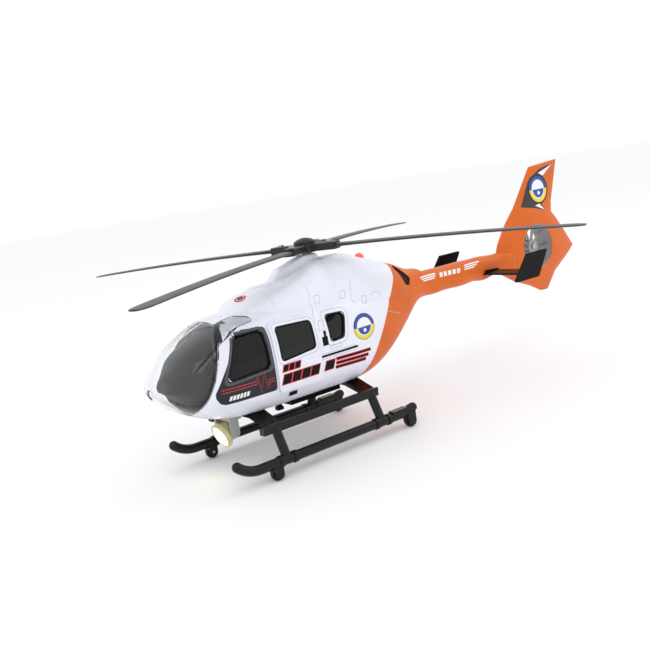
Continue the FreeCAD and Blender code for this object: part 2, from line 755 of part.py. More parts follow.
def make_side_windows(side):
    """The fixed tinted panes of one side, glued behind the cabin wall."""
    front = pane(FRONT_WINDOW, WALL + 0.12, WALL + 1.3, 2.0)
    rear = pane(REAR_WINDOW, WALL + 0.12, WALL + 1.3, 1.8)
    panes = [front, rear]
    if side < 0:
        panes = [mirrored(piece) for piece in panes]
    return Part.makeCompound(panes)


def make_door_window(side):
    """Tinted pane set in the door's own window opening."""
    near = -DOOR_GAP - DOOR_THICKNESS + 0.5
    glass = pane(DOOR_WINDOW, near, -DOOR_GAP - 0.1, -0.15)
    return glass if side > 0 else mirrored(glass)


def door_latch(inner_y, outer_y, margin=0.0):
    """Latch block with a finger, or the hole for it when a margin is given."""
    grip = box(23 - margin, 29 + margin, inner_y, outer_y, 96 - margin, 104 + margin)
    finger = box(24 - margin, 26.5 + margin, inner_y, outer_y, 103, 109 + margin)
    return grip.fuse(finger)


def door_catch(inner_y, outer_y, margin=0.0):
    """Catch block, or the hole for it when a margin is given."""
    return box(61.3 - margin, 68.7 + margin, inner_y, outer_y, 61.4 - margin, 64.6 + margin)


def make_door_latches():
    """Black latch behind each door, low enough for the door to slide over it."""
    latch = door_latch(41.4, 60.0).common(fuselage(-0.15))
    return Part.makeCompound([latch, mirrored(latch)])


def make_door_catches():
    """Black catch under each door."""
    catch = largest_solid(door_catch(30.0, 60.0).common(fuselage(-1.2)).cut(fuselage(WALL + 1.0)))
    return Part.makeCompound([catch, mirrored(catch)])


# ---------------------------------------------------------------- interior

def make_cockpit_liner():
    """Dark liner close behind the canopy."""
    skin = fuselage(8.0).cut(fuselage(9.6))
    outline = [(190, FLOOR_Z), (149, FLOOR_Z), (127, 117), (124.5, 121), (124.5, 145), (190, 145)]
    return largest_solid(skin.common(side_prism(outline, -60, 60)))


def make_interior_tub():
    """Floor pan with a rear bulkhead, a step under the seats and posts for the board."""
    room = fuselage(WALL + 0.3)
    underside = FLOOR_Z - FLOOR_THICKNESS
    floor = box(-20, 150, -50, 50, underside, FLOOR_Z)
    bulkhead = box(BULKHEAD_X, BULKHEAD_X + 2.0, -38, 38, FLOOR_Z, BULKHEAD_TOP)
    seat_base = box(88, 122, -36, 36, FLOOR_Z, FLOOR_Z + SEAT_BASE_HEIGHT)
    posts = [cylinder_z(1.6, BOARD_Z + BOARD_THICKNESS, underside, x, y)
             for x in (BOARD_XS[0] + 3, BOARD_XS[1] - 3) for y in (BOARD_YS[0] + 3, BOARD_YS[1] - 3)]
    return largest_solid(fuse_all([floor.common(room), bulkhead, seat_base] + posts))


def make_seat(side):
    """Bucket seat with a tall back and ribs."""
    y0, y1 = (6.0, 31.0) if side > 0 else (-31.0, -6.0)
    z = FLOOR_Z + SEAT_BASE_HEIGHT
    cushion = box(92, 118, y0, y1, z, z + 9.0)
    back = box(88, 94, y0, y1, z, z + 40.0)
    back.rotate(Vector(92, 0, z), Vector(0, 1, 0), -8)
    back = back.common(box(60, 130, -50, 50, z, 140))
    head = box(84, 89, y0 + 5, y1 - 5, z + 38.0, z + 48.0)
    head.rotate(Vector(92, 0, z), Vector(0, 1, 0), -2)
    seat = fuse_all([cushion, back, head])
    return seat


def make_battery_box():
    """Tray for three small cells, open underneath."""
    tray = box(*TRAY_XS, -TRAY_HALF_WIDTH, TRAY_HALF_WIDTH, BELLY_Z + 2, FLOOR_Z - FLOOR_THICKNESS)
    tray = tray.common(fuselage(WALL + 0.2))
    room_half_width = TRAY_HALF_WIDTH - 2.0
    return tray.cut(box(TRAY_XS[0] + 2, TRAY_XS[1] - 2, -room_half_width, room_half_width,
                        BELLY_Z, CELL_Z + CELL_RADIUS + 0.6))


def make_cells():
    """Three cells side by side, each with its button."""
    cells = []
    for y in CELL_YS:
        body = cylinder_x(CELL_RADIUS, *CELL_XS, y, CELL_Z)
        button = cylinder_x(1.9, CELL_XS[1], CELL_XS[1] + CELL_BUTTON, y, CELL_Z)
        cells.append(body.fuse(button))
    return Part.makeCompound(cells)


def make_contacts():
    """Sprung contact and plain contact at the two ends of each cell."""
    plate_low, plate_high = CELL_Z - 3.6, CELL_Z + 4.4
    spring_end, button_end = TRAY_XS[0] + 2, TRAY_XS[1] - 2
    contacts = []
    for y in CELL_YS:
        spring_plate = box(spring_end, spring_end + 0.4, y - 4, y + 4, plate_low, plate_high)
        spring = cylinder_x(3.0, spring_end + 0.4, CELL_XS[0], y, CELL_Z)
        contacts.append(spring_plate.fuse(spring))
        button_plate = box(button_end - 0.4, button_end, y - 4, y + 4, plate_low, plate_high)
        boss = cylinder_x(2.2, CELL_XS[1] + CELL_BUTTON, button_end - 0.4, y, CELL_Z)
        contacts.append(button_plate.fuse(boss))
    return Part.makeCompound(contacts)


def make_battery_cover():
    """Black cover over the hatch in the belly, with a plug that fits the hatch."""
    rim = box(0, 56, -21, 21, BELLY_Z - 3.0, BELLY_Z + 2.0).cut(fuselage(0))
    plug = box(3.2, 52.8, -17.8, 17.8, BELLY_Z - 0.5, BELLY_Z + 1.4)
    cover = rim.fuse(plug).cut(cylinder_z(SCREW_RADIUS + 0.1, 40, 60, COVER_SCREW_X))
    return cover.cut(cylinder_z(SCREW_HEAD_RADIUS + 0.1, 40, BELLY_Z - 3.0 + SCREW_SINK, COVER_SCREW_X))


def make_circuit_board():
    """Board with one chip and the housing of the slide switch."""
    top = BOARD_Z + BOARD_THICKNESS
    board = box(*BOARD_XS, *BOARD_YS, BOARD_Z, top)
    chip = box(BOARD_XS[0] + 6, BOARD_XS[0] + 14, -20, -12, top, top + 1.8)
    switch_box = box(SWITCH_X - 5.4, SWITCH_X + 6.6, SWITCH_Y - 7.2, SWITCH_Y + 6.4, 55.5, BOARD_Z + 1.0)
    return fuse_all([board, chip, switch_box])


def make_speaker():
    """Round speaker under the floor, facing down over the belly."""
    x = 108.0
    basket = cylinder_z(13.0, 55.0, 58.5, x)
    magnet = cylinder_z(7.0, 58.5, FLOOR_Z - FLOOR_THICKNESS, x)
    return basket.fuse(magnet)


def make_switch_knob():
    """Slide switch knob that stands out of the belly."""
    stem = box(SWITCH_X - 2.0, SWITCH_X + 2.0, SWITCH_Y - 2.0, SWITCH_Y + 2.0, 48.0, 55.2)
    cap = box(SWITCH_X - 3.0, SWITCH_X + 3.0, SWITCH_Y - 2.6, SWITCH_Y + 2.6, 45.0, 48.0)
    return stem.fuse(cap)


# ---------------------------------------------------------------- undercarriage

def skid_tube():
    """Runner with an upturned toe and a slightly raised heel."""
    toe_turn = math.radians(44.0)
    toe_radius = 31.0
    toe_start = 118.0
    heel_start = -40.0
    heel_x, heel_rise = -55.0, 2.6
    centre_z = SKID_Z + toe_radius
    toe_end = Vector(toe_start + toe_radius * math.sin(toe_turn), SKID_Y,
                     centre_z - toe_radius * math.cos(toe_turn))
    toe_middle = Vector(toe_start + toe_radius * math.sin(toe_turn / 2), SKID_Y,
                        centre_z - toe_radius * math.cos(toe_turn / 2))
    start = Vector(heel_start, SKID_Y, SKID_Z)
    heel_end = Vector(heel_x, SKID_Y, SKID_Z + heel_rise)
    line = Part.makeLine(start, Vector(toe_start, SKID_Y, SKID_Z))
    arc = Part.Arc(Vector(toe_start, SKID_Y, SKID_Z), toe_middle, toe_end).toShape()
    ring = Part.Wire([Part.makeCircle(SKID_RADIUS, start, Vector(1, 0, 0))])
    runner = Part.Wire([line, arc]).makePipeShell([ring], True, True)
    heel = bar_between(start, heel_end, SKID_RADIUS)
    caps = [Part.makeSphere(SKID_RADIUS, point) for point in (start, heel_end, toe_end)]
    return fuse_all([runner, heel] + caps)


def wheel_lug(x):
    """Fork under the runner that carries a wheel's axle."""
    block = box(x - 4.5, x + 4.5, SKID_Y - 4.4, SKID_Y + 4.4, WHEEL_RADIUS, SKID_Z)
    return block.fuse(cylinder_y(4.5, SKID_Y - 4.4, SKID_Y + 4.4, x, WHEEL_RADIUS))


def wheel_slot(x):
    """Room for a wheel inside its fork."""
    half = WHEEL_WIDTH / 2 + 0.3
    return cylinder_y(WHEEL_RADIUS + 0.6, SKID_Y - half, SKID_Y + half, x, WHEEL_RADIUS)


def make_skid(side):
    """One runner with its two struts, upper rail, collars and step pad."""
    rail = box(-23, 104.5, RAIL_Y - 3.6, RAIL_Y + 3.6, RAIL_Z - 4.0, RAIL_Z + 2.4)
    lip = box(-23, 104.5, RAIL_Y + 2.2, RAIL_Y + 4.2, RAIL_Z + 0.6, RAIL_Z + 3.8)
    parts = [skid_tube(), rail, lip]
    for x in STRUT_XS:
        parts.append(bar_between(Vector(x, RAIL_Y, RAIL_Z), Vector(x, SKID_Y, SKID_Z), STRUT_RADIUS))
        for collar_x in (x - 9.0, x + 5.6):
            parts.append(cylinder_x(SKID_RADIUS + 0.9, collar_x, collar_x + 3.4, SKID_Y, SKID_Z))
    parts.append(box(-46, -28, SKID_Y - 3.5, SKID_Y + 3.5, SKID_Z, SKID_Z + 5.6))
    parts.extend(wheel_lug(x) for x in WHEEL_XS)
    skid = fuse_all(parts)
    for x in WHEEL_XS:
        skid = skid.cut(wheel_slot(x))
        skid = skid.cut(cylinder_y(AXLE_RADIUS, SKID_Y - 5, SKID_Y + 3.4, x, WHEEL_RADIUS))
    return skid if side > 0 else mirrored(skid)


def make_wheel(x, side):
    """Small wheel with rounded shoulders."""
    half = WHEEL_WIDTH / 2
    tyre = cylinder_y(WHEEL_RADIUS, SKID_Y - half, SKID_Y + half, x, WHEEL_RADIUS)
    rims = [edge for edge in tyre.Edges if edge.Length > 30 and abs(edge.CenterOfMass.y - SKID_Y) > 1]
    tyre = tyre.makeFillet(0.6, rims)
    wheel = tyre.cut(cylinder_y(AXLE_RADIUS + RUNNING_GAP, SKID_Y - 5, SKID_Y + 5, x, WHEEL_RADIUS))
    return wheel if side > 0 else mirrored(wheel)


def make_wheel_axles():
    """Four pins pressed into the forks."""
    pins = []
    for x in WHEEL_XS:
        pin = cylinder_y(AXLE_RADIUS, SKID_Y - 4.3, SKID_Y + 3.4, x, WHEEL_RADIUS)
        pins.extend([pin, mirrored(pin)])
    return Part.makeCompound(pins)


def make_cross_plate(x):
    """Flat cross member under the belly, bent down to the upper rails."""
    inner_y, outer_y = 17.0, RAIL_Y - 3.6
    low_top, low_bottom = RAIL_Z + 2.4, RAIL_Z
    bottom = BELLY_Z - 0.4 - PLATE_THICKNESS
    top = BELLY_Z + 1.2
    outline = [
        (-outer_y, low_top), (-inner_y, top), (inner_y, top), (outer_y, low_top),
        (outer_y, low_bottom), (inner_y, bottom), (-inner_y, bottom), (-outer_y, low_bottom),
    ]
    points = [Vector(x - PLATE_HALF_LENGTH, y, z) for y, z in outline]
    plate = Part.Face(Part.makePolygon(points + points[:1])).extrude(Vector(2 * PLATE_HALF_LENGTH, 0, 0))
    plate = plate.cut(fuselage(0))
    for y in (PLATE_SCREW_Y, -PLATE_SCREW_Y):
        plate = plate.cut(cylinder_z(SCREW_RADIUS + 0.1, 40, 60, x, y))
        plate = plate.cut(cylinder_z(SCREW_HEAD_RADIUS + 0.1, 40, bottom + SCREW_SINK, x, y))
    return plate


def make_body_screws():
    """Screws of the cross plates and the battery cover."""
    seats = [(COVER_SCREW_X, 0.0, BELLY_Z - 3.0 + SCREW_SINK)]
    for x in STRUT_XS:
        for y in (PLATE_SCREW_Y, -PLATE_SCREW_Y):
            seats.append((x, y, BELLY_Z - 0.4 - PLATE_THICKNESS + SCREW_SINK))
    screws = []
    for x, y, seat_z in seats:
        head = cylinder_z(SCREW_HEAD_RADIUS, seat_z - SCREW_SINK + 0.1, seat_z, x, y)
        shank = cylinder_z(SCREW_RADIUS, seat_z, seat_z + SCREW_SHANK, x, y)
        screws.append(head.fuse(shank))
    return Part.makeCompound(screws)


# ---------------------------------------------------------------- searchlight

def make_searchlight_bracket():
    """Fork under the nose with an arm on each side of the lamp."""
    outer_y = LAMP_ARM_Y + LAMP_ARM_THICKNESS
    base = box(LAMP_X - 7.5, LAMP_X + 4.5, -outer_y, outer_y, 48.6, 56.0).cut(fuselage(0))
    parts = [largest_solid(base)]
    for side in (1, -1):
        arm = box(LAMP_X - LAMP_ARM_RADIUS, LAMP_X + LAMP_ARM_RADIUS, LAMP_ARM_Y, outer_y, LAMP_Z, 50.0)
        foot = cylinder_y(LAMP_ARM_RADIUS, LAMP_ARM_Y, outer_y, LAMP_X, LAMP_Z)
        pivot = cylinder_y(LAMP_PIVOT_RADIUS, LAMP_ARM_Y - 1.6, outer_y + 0.8, LAMP_X, LAMP_Z)
        arm = fuse_all([arm, foot, pivot])
        parts.append(arm if side > 0 else mirrored(arm))
    return fuse_all(parts)


def lamp_profile_solid(points):
    """Solid turned about the lamp's own axis from (along, radius) points."""
    outline = [Vector(along, 0, radius) for along, radius in points]
    face = Part.Face(Part.makePolygon(outline + outline[:1]))
    solid = face.revolve(Vector(0, 0, 0), Vector(1, 0, 0), 360)
    solid.translate(Vector(LAMP_X, 0, LAMP_Z))
    return turned_y(solid, LAMP_TILT, LAMP_X, LAMP_Z)


def make_searchlight_body():
    """Lamp can with a stepped rim and an open front."""
    can = lamp_profile_solid([
        (-8.0, 0.0), (-8.0, 5.0), (-4.0, 9.0), (5.0, 9.6), (5.0, 11.6), (9.0, 11.6),
        (9.0, 9.4), (4.0, 8.0), (-3.0, 4.0), (-3.0, 0.0),
    ])
    pivots = cylinder_y(LAMP_PIVOT_RADIUS + RUNNING_GAP, -12, 12, LAMP_X, LAMP_Z)
    ears = cylinder_y(3.4, -11.2, 11.2, LAMP_X, LAMP_Z).cut(lamp_profile_solid([
        (-8.0, 0.0), (-8.0, 5.0), (-4.0, 9.0), (5.0, 9.6), (9.0, 9.4), (9.0, 0.0)]))
    body = fuse_all([can] + [ear for ear in ears.Solids if abs(ear.CenterOfMass.y) > 5])
    return body.cut(pivots)


def make_searchlight_lens():
    """Domed lens inside the lamp's rim."""
    return lamp_profile_solid([(7.2, 0.0), (7.2, 8.6), (8.6, 9.0), (10.4, 6.0), (11.0, 0.0)])


def make_beacon_lens():
    """Red dome that sits on the cowling, with a stem through it."""
    stem = cylinder_z(BEACON_STEM_RADIUS, 154.0, 159.5, BEACON_X)
    dome = Part.makeSphere(BEACON_RADIUS, Vector(BEACON_X, 0, 159.0))
    skirt = cylinder_z(BEACON_RADIUS, 155.0, 159.0, BEACON_X)
    head = dome.common(cylinder_z(BEACON_RADIUS + 1, 159.0, 168.0, BEACON_X)).fuse(skirt)
    return largest_solid(head.cut(cowl(-PRESS_GAP))).fuse(stem)


def make_tail_light():
    """Red dome on the shroud's rear edge, with a stem into it."""
    stem = cylinder_x(TAIL_LIGHT_STEM_RADIUS, TAIL_LIGHT_X - 1.0, TAIL_LIGHT_X + 7.5, 0, TAIL_LIGHT_Z)
    ball = Part.makeSphere(TAIL_LIGHT_RADIUS, Vector(TAIL_LIGHT_X - 0.4, 0, TAIL_LIGHT_Z))
    cap = ball.common(box(-400, TAIL_LIGHT_X - 0.4, -6, 6, TAIL_LIGHT_Z - 7, TAIL_LIGHT_Z + 7))
    return stem.fuse(cap)


def make_exhausts():
    """Dark recessed exhaust outlets in the cowling's rear shoulders."""
    front = fuselage(EXHAUST_RECESS).fuse(cowl(EXHAUST_RECESS))
    back = fuselage(EXHAUST_RECESS + 1.5).fuse(cowl(EXHAUST_RECESS + 1.5))
    block = front.common(side_prism(EXHAUST_OUTLINE, 4, 40, 2.0))
    outlet = largest_solid(block.cut(back))
    return Part.makeCompound([outlet, mirrored(outlet)])


# ---------------------------------------------------------------- export

def export(name, shape):
    shape.exportStep("parts/" + name + ".step")
    print(name, len(shape.Solids), round(shape.Volume), shape.isValid())


def main():
    os.makedirs("parts", exist_ok=True)
    outside = outer_body()
    shell = outside.cut(inner_body())
    white = shell.common(region_ahead(COLOUR_SPLIT)).cut(canopy_region())
    cabin = make_cabin(white)
    tail = make_tail(shell)
    port_tail = tail.common(half_space(True))
    starboard_tail = tail.common(half_space(False)).fuse(fan_spokes())
    nodes = {
        "cabin_shell_port": cabin.common(half_space(True)),
        "cabin_shell_starboard": cabin.common(half_space(False)),
        "engine_cowling": make_cowling(white),
        "tail_shell_port": port_tail,
        "tail_shell_starboard": starboard_tail,
        "canopy": make_canopy(outside),
        "cockpit_liner": make_cockpit_liner(),
        "interior_tub": make_interior_tub(),
        "battery_box": make_battery_box(),
        "battery_cells": make_cells(),
        "battery_contacts": make_contacts(),
        "battery_cover": make_battery_cover(),
        "circuit_board": make_circuit_board(),
        "speaker": make_speaker(),
        "switch_knob": make_switch_knob(),
        "drive_motor": make_motor(),
        "motor_pinion": make_pinion(),
        "rotor_gear": make_rotor_gear(),
        "rotor_shaft": make_shaft(),
        "shaft_bushes": make_bushes(),
        "gearbox_frame": make_gearbox_frame(),
        "rotor_hub": make_hub(),
        "hub_cap": make_hub_cap(),
        "blade_screws": make_blade_screws(),
        "tail_fan": make_tail_fan(),
        "fan_pin": make_fan_pin(),
        "stabilizer": make_stabilizer(),
        "beacon_lens": make_beacon_lens(),
        "tail_light_lens": make_tail_light(),
        "wheel_axles": make_wheel_axles(),
        "cross_plate_front": make_cross_plate(STRUT_XS[0]),
        "cross_plate_rear": make_cross_plate(STRUT_XS[1]),
        "body_screws": make_body_screws(),
        "searchlight_bracket": make_searchlight_bracket(),
        "searchlight_body": make_searchlight_body(),
        "searchlight_lens": make_searchlight_lens(),
        "door_latches": make_door_latches(),
        "door_catches": make_door_catches(),
        "exhaust_outlets": make_exhausts(),
    }
    for index in range(BLADE_COUNT):
        nodes["rotor_blade_%d" % (index + 1)] = make_blade(index)
    for side, label in ((1, "port"), (-1, "starboard")):
        nodes["side_windows_" + label] = make_side_windows(side)
        nodes["sliding_door_" + label] = make_sliding_door(side)
        nodes["door_window_" + label] = make_door_window(side)
        nodes["end_plate_" + label] = make_end_plate(side)
        nodes["skid_" + label] = make_skid(side)
        nodes[("pilot" if side < 0 else "copilot") + "_seat"] = make_seat(side)
        nodes["wheel_front_" + label] = make_wheel(WHEEL_XS[0], side)
        nodes["wheel_rear_" + label] = make_wheel(WHEEL_XS[1], side)
    for name, shape in nodes.items():
        export(name, shape)


main()
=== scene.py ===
import json
import math

import bmesh
import bpy
from mathutils import Matrix, Vector
from mathutils.bvhtree import BVHTree
from mathutils.geometry import delaunay_2d_cdt


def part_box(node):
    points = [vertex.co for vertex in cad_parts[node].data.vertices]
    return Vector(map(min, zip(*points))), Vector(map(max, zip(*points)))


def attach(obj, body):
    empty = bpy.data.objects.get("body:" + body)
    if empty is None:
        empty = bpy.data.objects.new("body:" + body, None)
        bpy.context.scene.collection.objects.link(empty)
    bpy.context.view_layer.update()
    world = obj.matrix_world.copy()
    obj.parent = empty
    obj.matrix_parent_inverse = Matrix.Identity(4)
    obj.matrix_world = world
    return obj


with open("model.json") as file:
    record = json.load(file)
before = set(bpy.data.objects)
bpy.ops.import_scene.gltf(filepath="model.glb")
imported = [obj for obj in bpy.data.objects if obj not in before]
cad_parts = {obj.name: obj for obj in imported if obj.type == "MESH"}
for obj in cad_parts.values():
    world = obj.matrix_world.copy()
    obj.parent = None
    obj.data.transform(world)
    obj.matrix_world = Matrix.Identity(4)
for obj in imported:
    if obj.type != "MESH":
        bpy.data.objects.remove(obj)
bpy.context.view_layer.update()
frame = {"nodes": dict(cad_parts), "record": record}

# Looks of the toy rescue helicopter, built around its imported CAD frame.
# Metres. +X is the nose, +Y is port, +Z is up, and the wheels stand at z = 0.

nodes = frame["nodes"]
MM = 0.001

# ---------------------------------------------------------------- camera

# The camera stands ahead of the port side, a little above the model, and is rolled.
CAMERA_AZIMUTH = math.radians(143.6)
CAMERA_ELEVATION = math.radians(10.0)
CAMERA_ROLL = math.radians(-8.75)
CAMERA_DISTANCE = 0.784
CAMERA_TARGET = Vector((-0.0091, 0.0, 0.1041))
FOCAL_OVER_FRAME = 1.281
SENSOR_WIDTH = 36.0


def make_camera():
    """Camera at its driving angles, with no shift and no depth of field."""
    flat = math.cos(CAMERA_ELEVATION)
    back = Vector((math.sin(CAMERA_AZIMUTH) * flat,
                   -math.cos(CAMERA_AZIMUTH) * flat,
                   math.sin(CAMERA_ELEVATION)))
    level_right = Vector((0, 0, 1)).cross(back).normalized()
    level_up = back.cross(level_right)
    cosine, sine = math.cos(CAMERA_ROLL), math.sin(CAMERA_ROLL)
    right = level_right * cosine + level_up * sine
    up = level_up * cosine - level_right * sine
    camera = bpy.data.objects.new("camera", bpy.data.cameras.new("camera"))
    bpy.context.scene.collection.objects.link(camera)
    place = CAMERA_TARGET + back * CAMERA_DISTANCE
    camera.matrix_world = Matrix((
        (right.x, up.x, back.x, place.x),
        (right.y, up.y, back.y, place.y),
        (right.z, up.z, back.z, place.z),
        (0, 0, 0, 1),
    ))
    camera.data.sensor_width = SENSOR_WIDTH
    camera.data.lens = SENSOR_WIDTH * FOCAL_OVER_FRAME
    camera.data.clip_start = 0.01
    bpy.context.scene.camera = camera


# ---------------------------------------------------------------- stage

FLOOR_HALF = 12.0
MODEL_MIDDLE = (0, 0, 0.1)
SKY_COLOUR = (0.98, 0.985, 1.0, 1)
SKY_STRENGTH = 1.02
FLOOR_COLOUR = (0.96, 0.96, 0.965)


def area_light(name, place, aim, size, power):
    """Square soft light pointed at a place."""
    data = bpy.data.lights.new(name, "AREA")
    data.size = size
    data.energy = power
    light = bpy.data.objects.new(name, data)
    bpy.context.scene.collection.objects.link(light)
    light.location = place
    light.rotation_euler = (Vector(aim) - Vector(place)).to_track_quat("-Z", "Y").to_euler()
    return light


def make_stage():
    """Plain pale floor, an even pale sky and three soft lights."""
    bpy.context.scene.view_settings.view_transform = "Standard"
    world = bpy.data.worlds.new("studio")
    bpy.context.scene.world = world
    world.use_nodes = True
    background = world.node_tree.nodes["Background"]
    background.inputs["Color"].default_value = SKY_COLOUR
    background.inputs["Strength"].default_value = SKY_STRENGTH
    mesh = bpy.data.meshes.new("floor")
    turns = [(-1, -1), (1, -1), (1, 1), (-1, 1)]
    mesh.from_pydata([(x * FLOOR_HALF, y * FLOOR_HALF, 0) for x, y in turns], [], [(0, 1, 2, 3)])
    floor = bpy.data.objects.new("floor", mesh)
    bpy.context.scene.collection.objects.link(floor)
    paint = new_material("floor_pale", FLOOR_COLOUR, 0.7)
    mesh.materials.append(paint)
    area_light("key", (0.9, 1.2, 1.7), MODEL_MIDDLE, size=1.2, power=6.5)
    area_light("fill", (1.7, -0.4, 0.7), MODEL_MIDDLE, size=1.0, power=1.5)
    area_light("rim", (-1.5, 0.5, 1.3), (-0.1, 0, 0.1), size=1.0, power=2.5)


# ---------------------------------------------------------------- materials

# Noise scales are counts of features per metre.
CLOUD_SCALE = 28.0
SMEAR_SCALE = 90.0
SKIN_SCALE = 600.0
HAZE_SCALE = 60.0
STREAK_SCALES = (300.0, 300.0, 4000.0)


def new_material(name, colour, roughness):
    """Material whose shader has one colour and one roughness."""
    material = bpy.data.materials.new(name)
    material.use_nodes = True
    shader = material.node_tree.nodes["Principled BSDF"]
    shader.inputs["Base Color"].default_value = (*colour, 1)
    shader.inputs["Roughness"].default_value = roughness
    return material


def add_node(material, kind, **sockets):
    """Shader node with some of its sockets set."""
    node = material.node_tree.nodes.new(kind)
    for name, value in sockets.items():
        node.inputs[name.replace("_", " ")].default_value = value
    return node


def connect(material, source, output, target, socket):
    """Link from a node's output to another node's socket."""
    material.node_tree.links.new(source.outputs[output], target.inputs[socket])


def moulded_plastic(name, colour, roughness=0.3, shade=0.06, bump=0.03, coat=0.25, shine=0.5):
    """Injection-moulded plastic: faint colour clouds, uneven gloss and a fine skin."""
    material = new_material(name, colour, roughness)
    shader = material.node_tree.nodes["Principled BSDF"]
    place = add_node(material, "ShaderNodeTexCoord")
    clouds = add_node(material, "ShaderNodeTexNoise", Scale=CLOUD_SCALE, Detail=4.0)
    connect(material, place, "Object", clouds, "Vector")
    tint = material.node_tree.nodes.new("ShaderNodeValToRGB")
    dark = [channel * (1 - shade) for channel in colour]
    light = [min(1.0, channel * (1 + shade * 0.5)) for channel in colour]
    tint.color_ramp.elements[0].position = 0.35
    tint.color_ramp.elements[0].color = (*dark, 1)
    tint.color_ramp.elements[1].position = 0.65
    tint.color_ramp.elements[1].color = (*light, 1)
    connect(material, clouds, "Fac", tint, "Fac")
    connect(material, tint, "Color", shader, "Base Color")
    smears = add_node(material, "ShaderNodeTexNoise", Scale=SMEAR_SCALE, Detail=5.0)
    connect(material, place, "Object", smears, "Vector")
    gloss = add_node(material, "ShaderNodeMapRange", To_Min=roughness * 0.8, To_Max=roughness * 1.25)
    connect(material, smears, "Fac", gloss, "Value")
    connect(material, gloss, "Result", shader, "Roughness")
    skin = add_node(material, "ShaderNodeTexNoise", Scale=SKIN_SCALE, Detail=2.0)
    connect(material, place, "Object", skin, "Vector")
    relief = add_node(material, "ShaderNodeBump", Strength=bump, Distance=0.0004)
    connect(material, skin, "Fac", relief, "Height")
    connect(material, relief, "Normal", shader, "Normal")
    shader.inputs["Specular IOR Level"].default_value = shine
    shader.inputs["Coat Weight"].default_value = coat
    shader.inputs["Coat Roughness"].default_value = 0.12
    return material


def brushed_metal(name, colour, roughness=0.32):
    """Turned or drawn metal with fine streaks."""
    material = new_material(name, colour, roughness)
    shader = material.node_tree.nodes["Principled BSDF"]
    shader.inputs["Metallic"].default_value = 1.0
    place = add_node(material, "ShaderNodeTexCoord")
    stretch = add_node(material, "ShaderNodeMapping", Scale=STREAK_SCALES)
    streaks = add_node(material, "ShaderNodeTexNoise", Scale=1.0, Detail=3.0)
    connect(material, place, "Object", stretch, "Vector")
    connect(material, stretch, "Vector", streaks, "Vector")
    gloss = add_node(material, "ShaderNodeMapRange", To_Min=roughness * 0.7, To_Max=roughness * 1.4)
    connect(material, streaks, "Fac", gloss, "Value")
    connect(material, gloss, "Result", shader, "Roughness")
    relief = add_node(material, "ShaderNodeBump", Strength=0.08, Distance=0.0002)
    connect(material, streaks, "Fac", relief, "Height")
    connect(material, relief, "Normal", shader, "Normal")
    return material


def clear_plastic(name, colour, index=1.3, roughness=0.02):
    """Clear moulding that light passes through."""
    material = new_material(name, colour, roughness)
    shader = material.node_tree.nodes["Principled BSDF"]
    shader.inputs["Transmission Weight"].default_value = 1.0
    shader.inputs["IOR"].default_value = index
    place = add_node(material, "ShaderNodeTexCoord")
    haze = add_node(material, "ShaderNodeTexNoise", Scale=HAZE_SCALE, Detail=3.0)
    connect(material, place, "Object", haze, "Vector")
    gloss = add_node(material, "ShaderNodeMapRange", To_Min=roughness * 0.5, To_Max=roughness * 1.8)
    connect(material, haze, "Fac", gloss, "Value")
    connect(material, gloss, "Result", shader, "Roughness")
    return material


def smoked_pane(name, colour, alpha, roughness=0.05):
    """Dark window pane that lets a little light through."""
    material = moulded_plastic(name, colour, roughness, shade=0.02, bump=0.002, coat=0.1, shine=0.3)
    shader = material.node_tree.nodes["Principled BSDF"]
    shader.inputs["Alpha"].default_value = alpha
    shader.inputs["Coat Roughness"].default_value = 0.03
    return material


def glowing_lens(name, colour, glow, strength):
    """Lit lens of a small lamp."""
    material = moulded_plastic(name, colour, 0.15, shade=0.05, bump=0.05, coat=0.8)
    shader = material.node_tree.nodes["Principled BSDF"]
    shader.inputs["Emission Color"].default_value = (*glow, 1)
    shader.inputs["Emission Strength"].default_value = strength
    return material


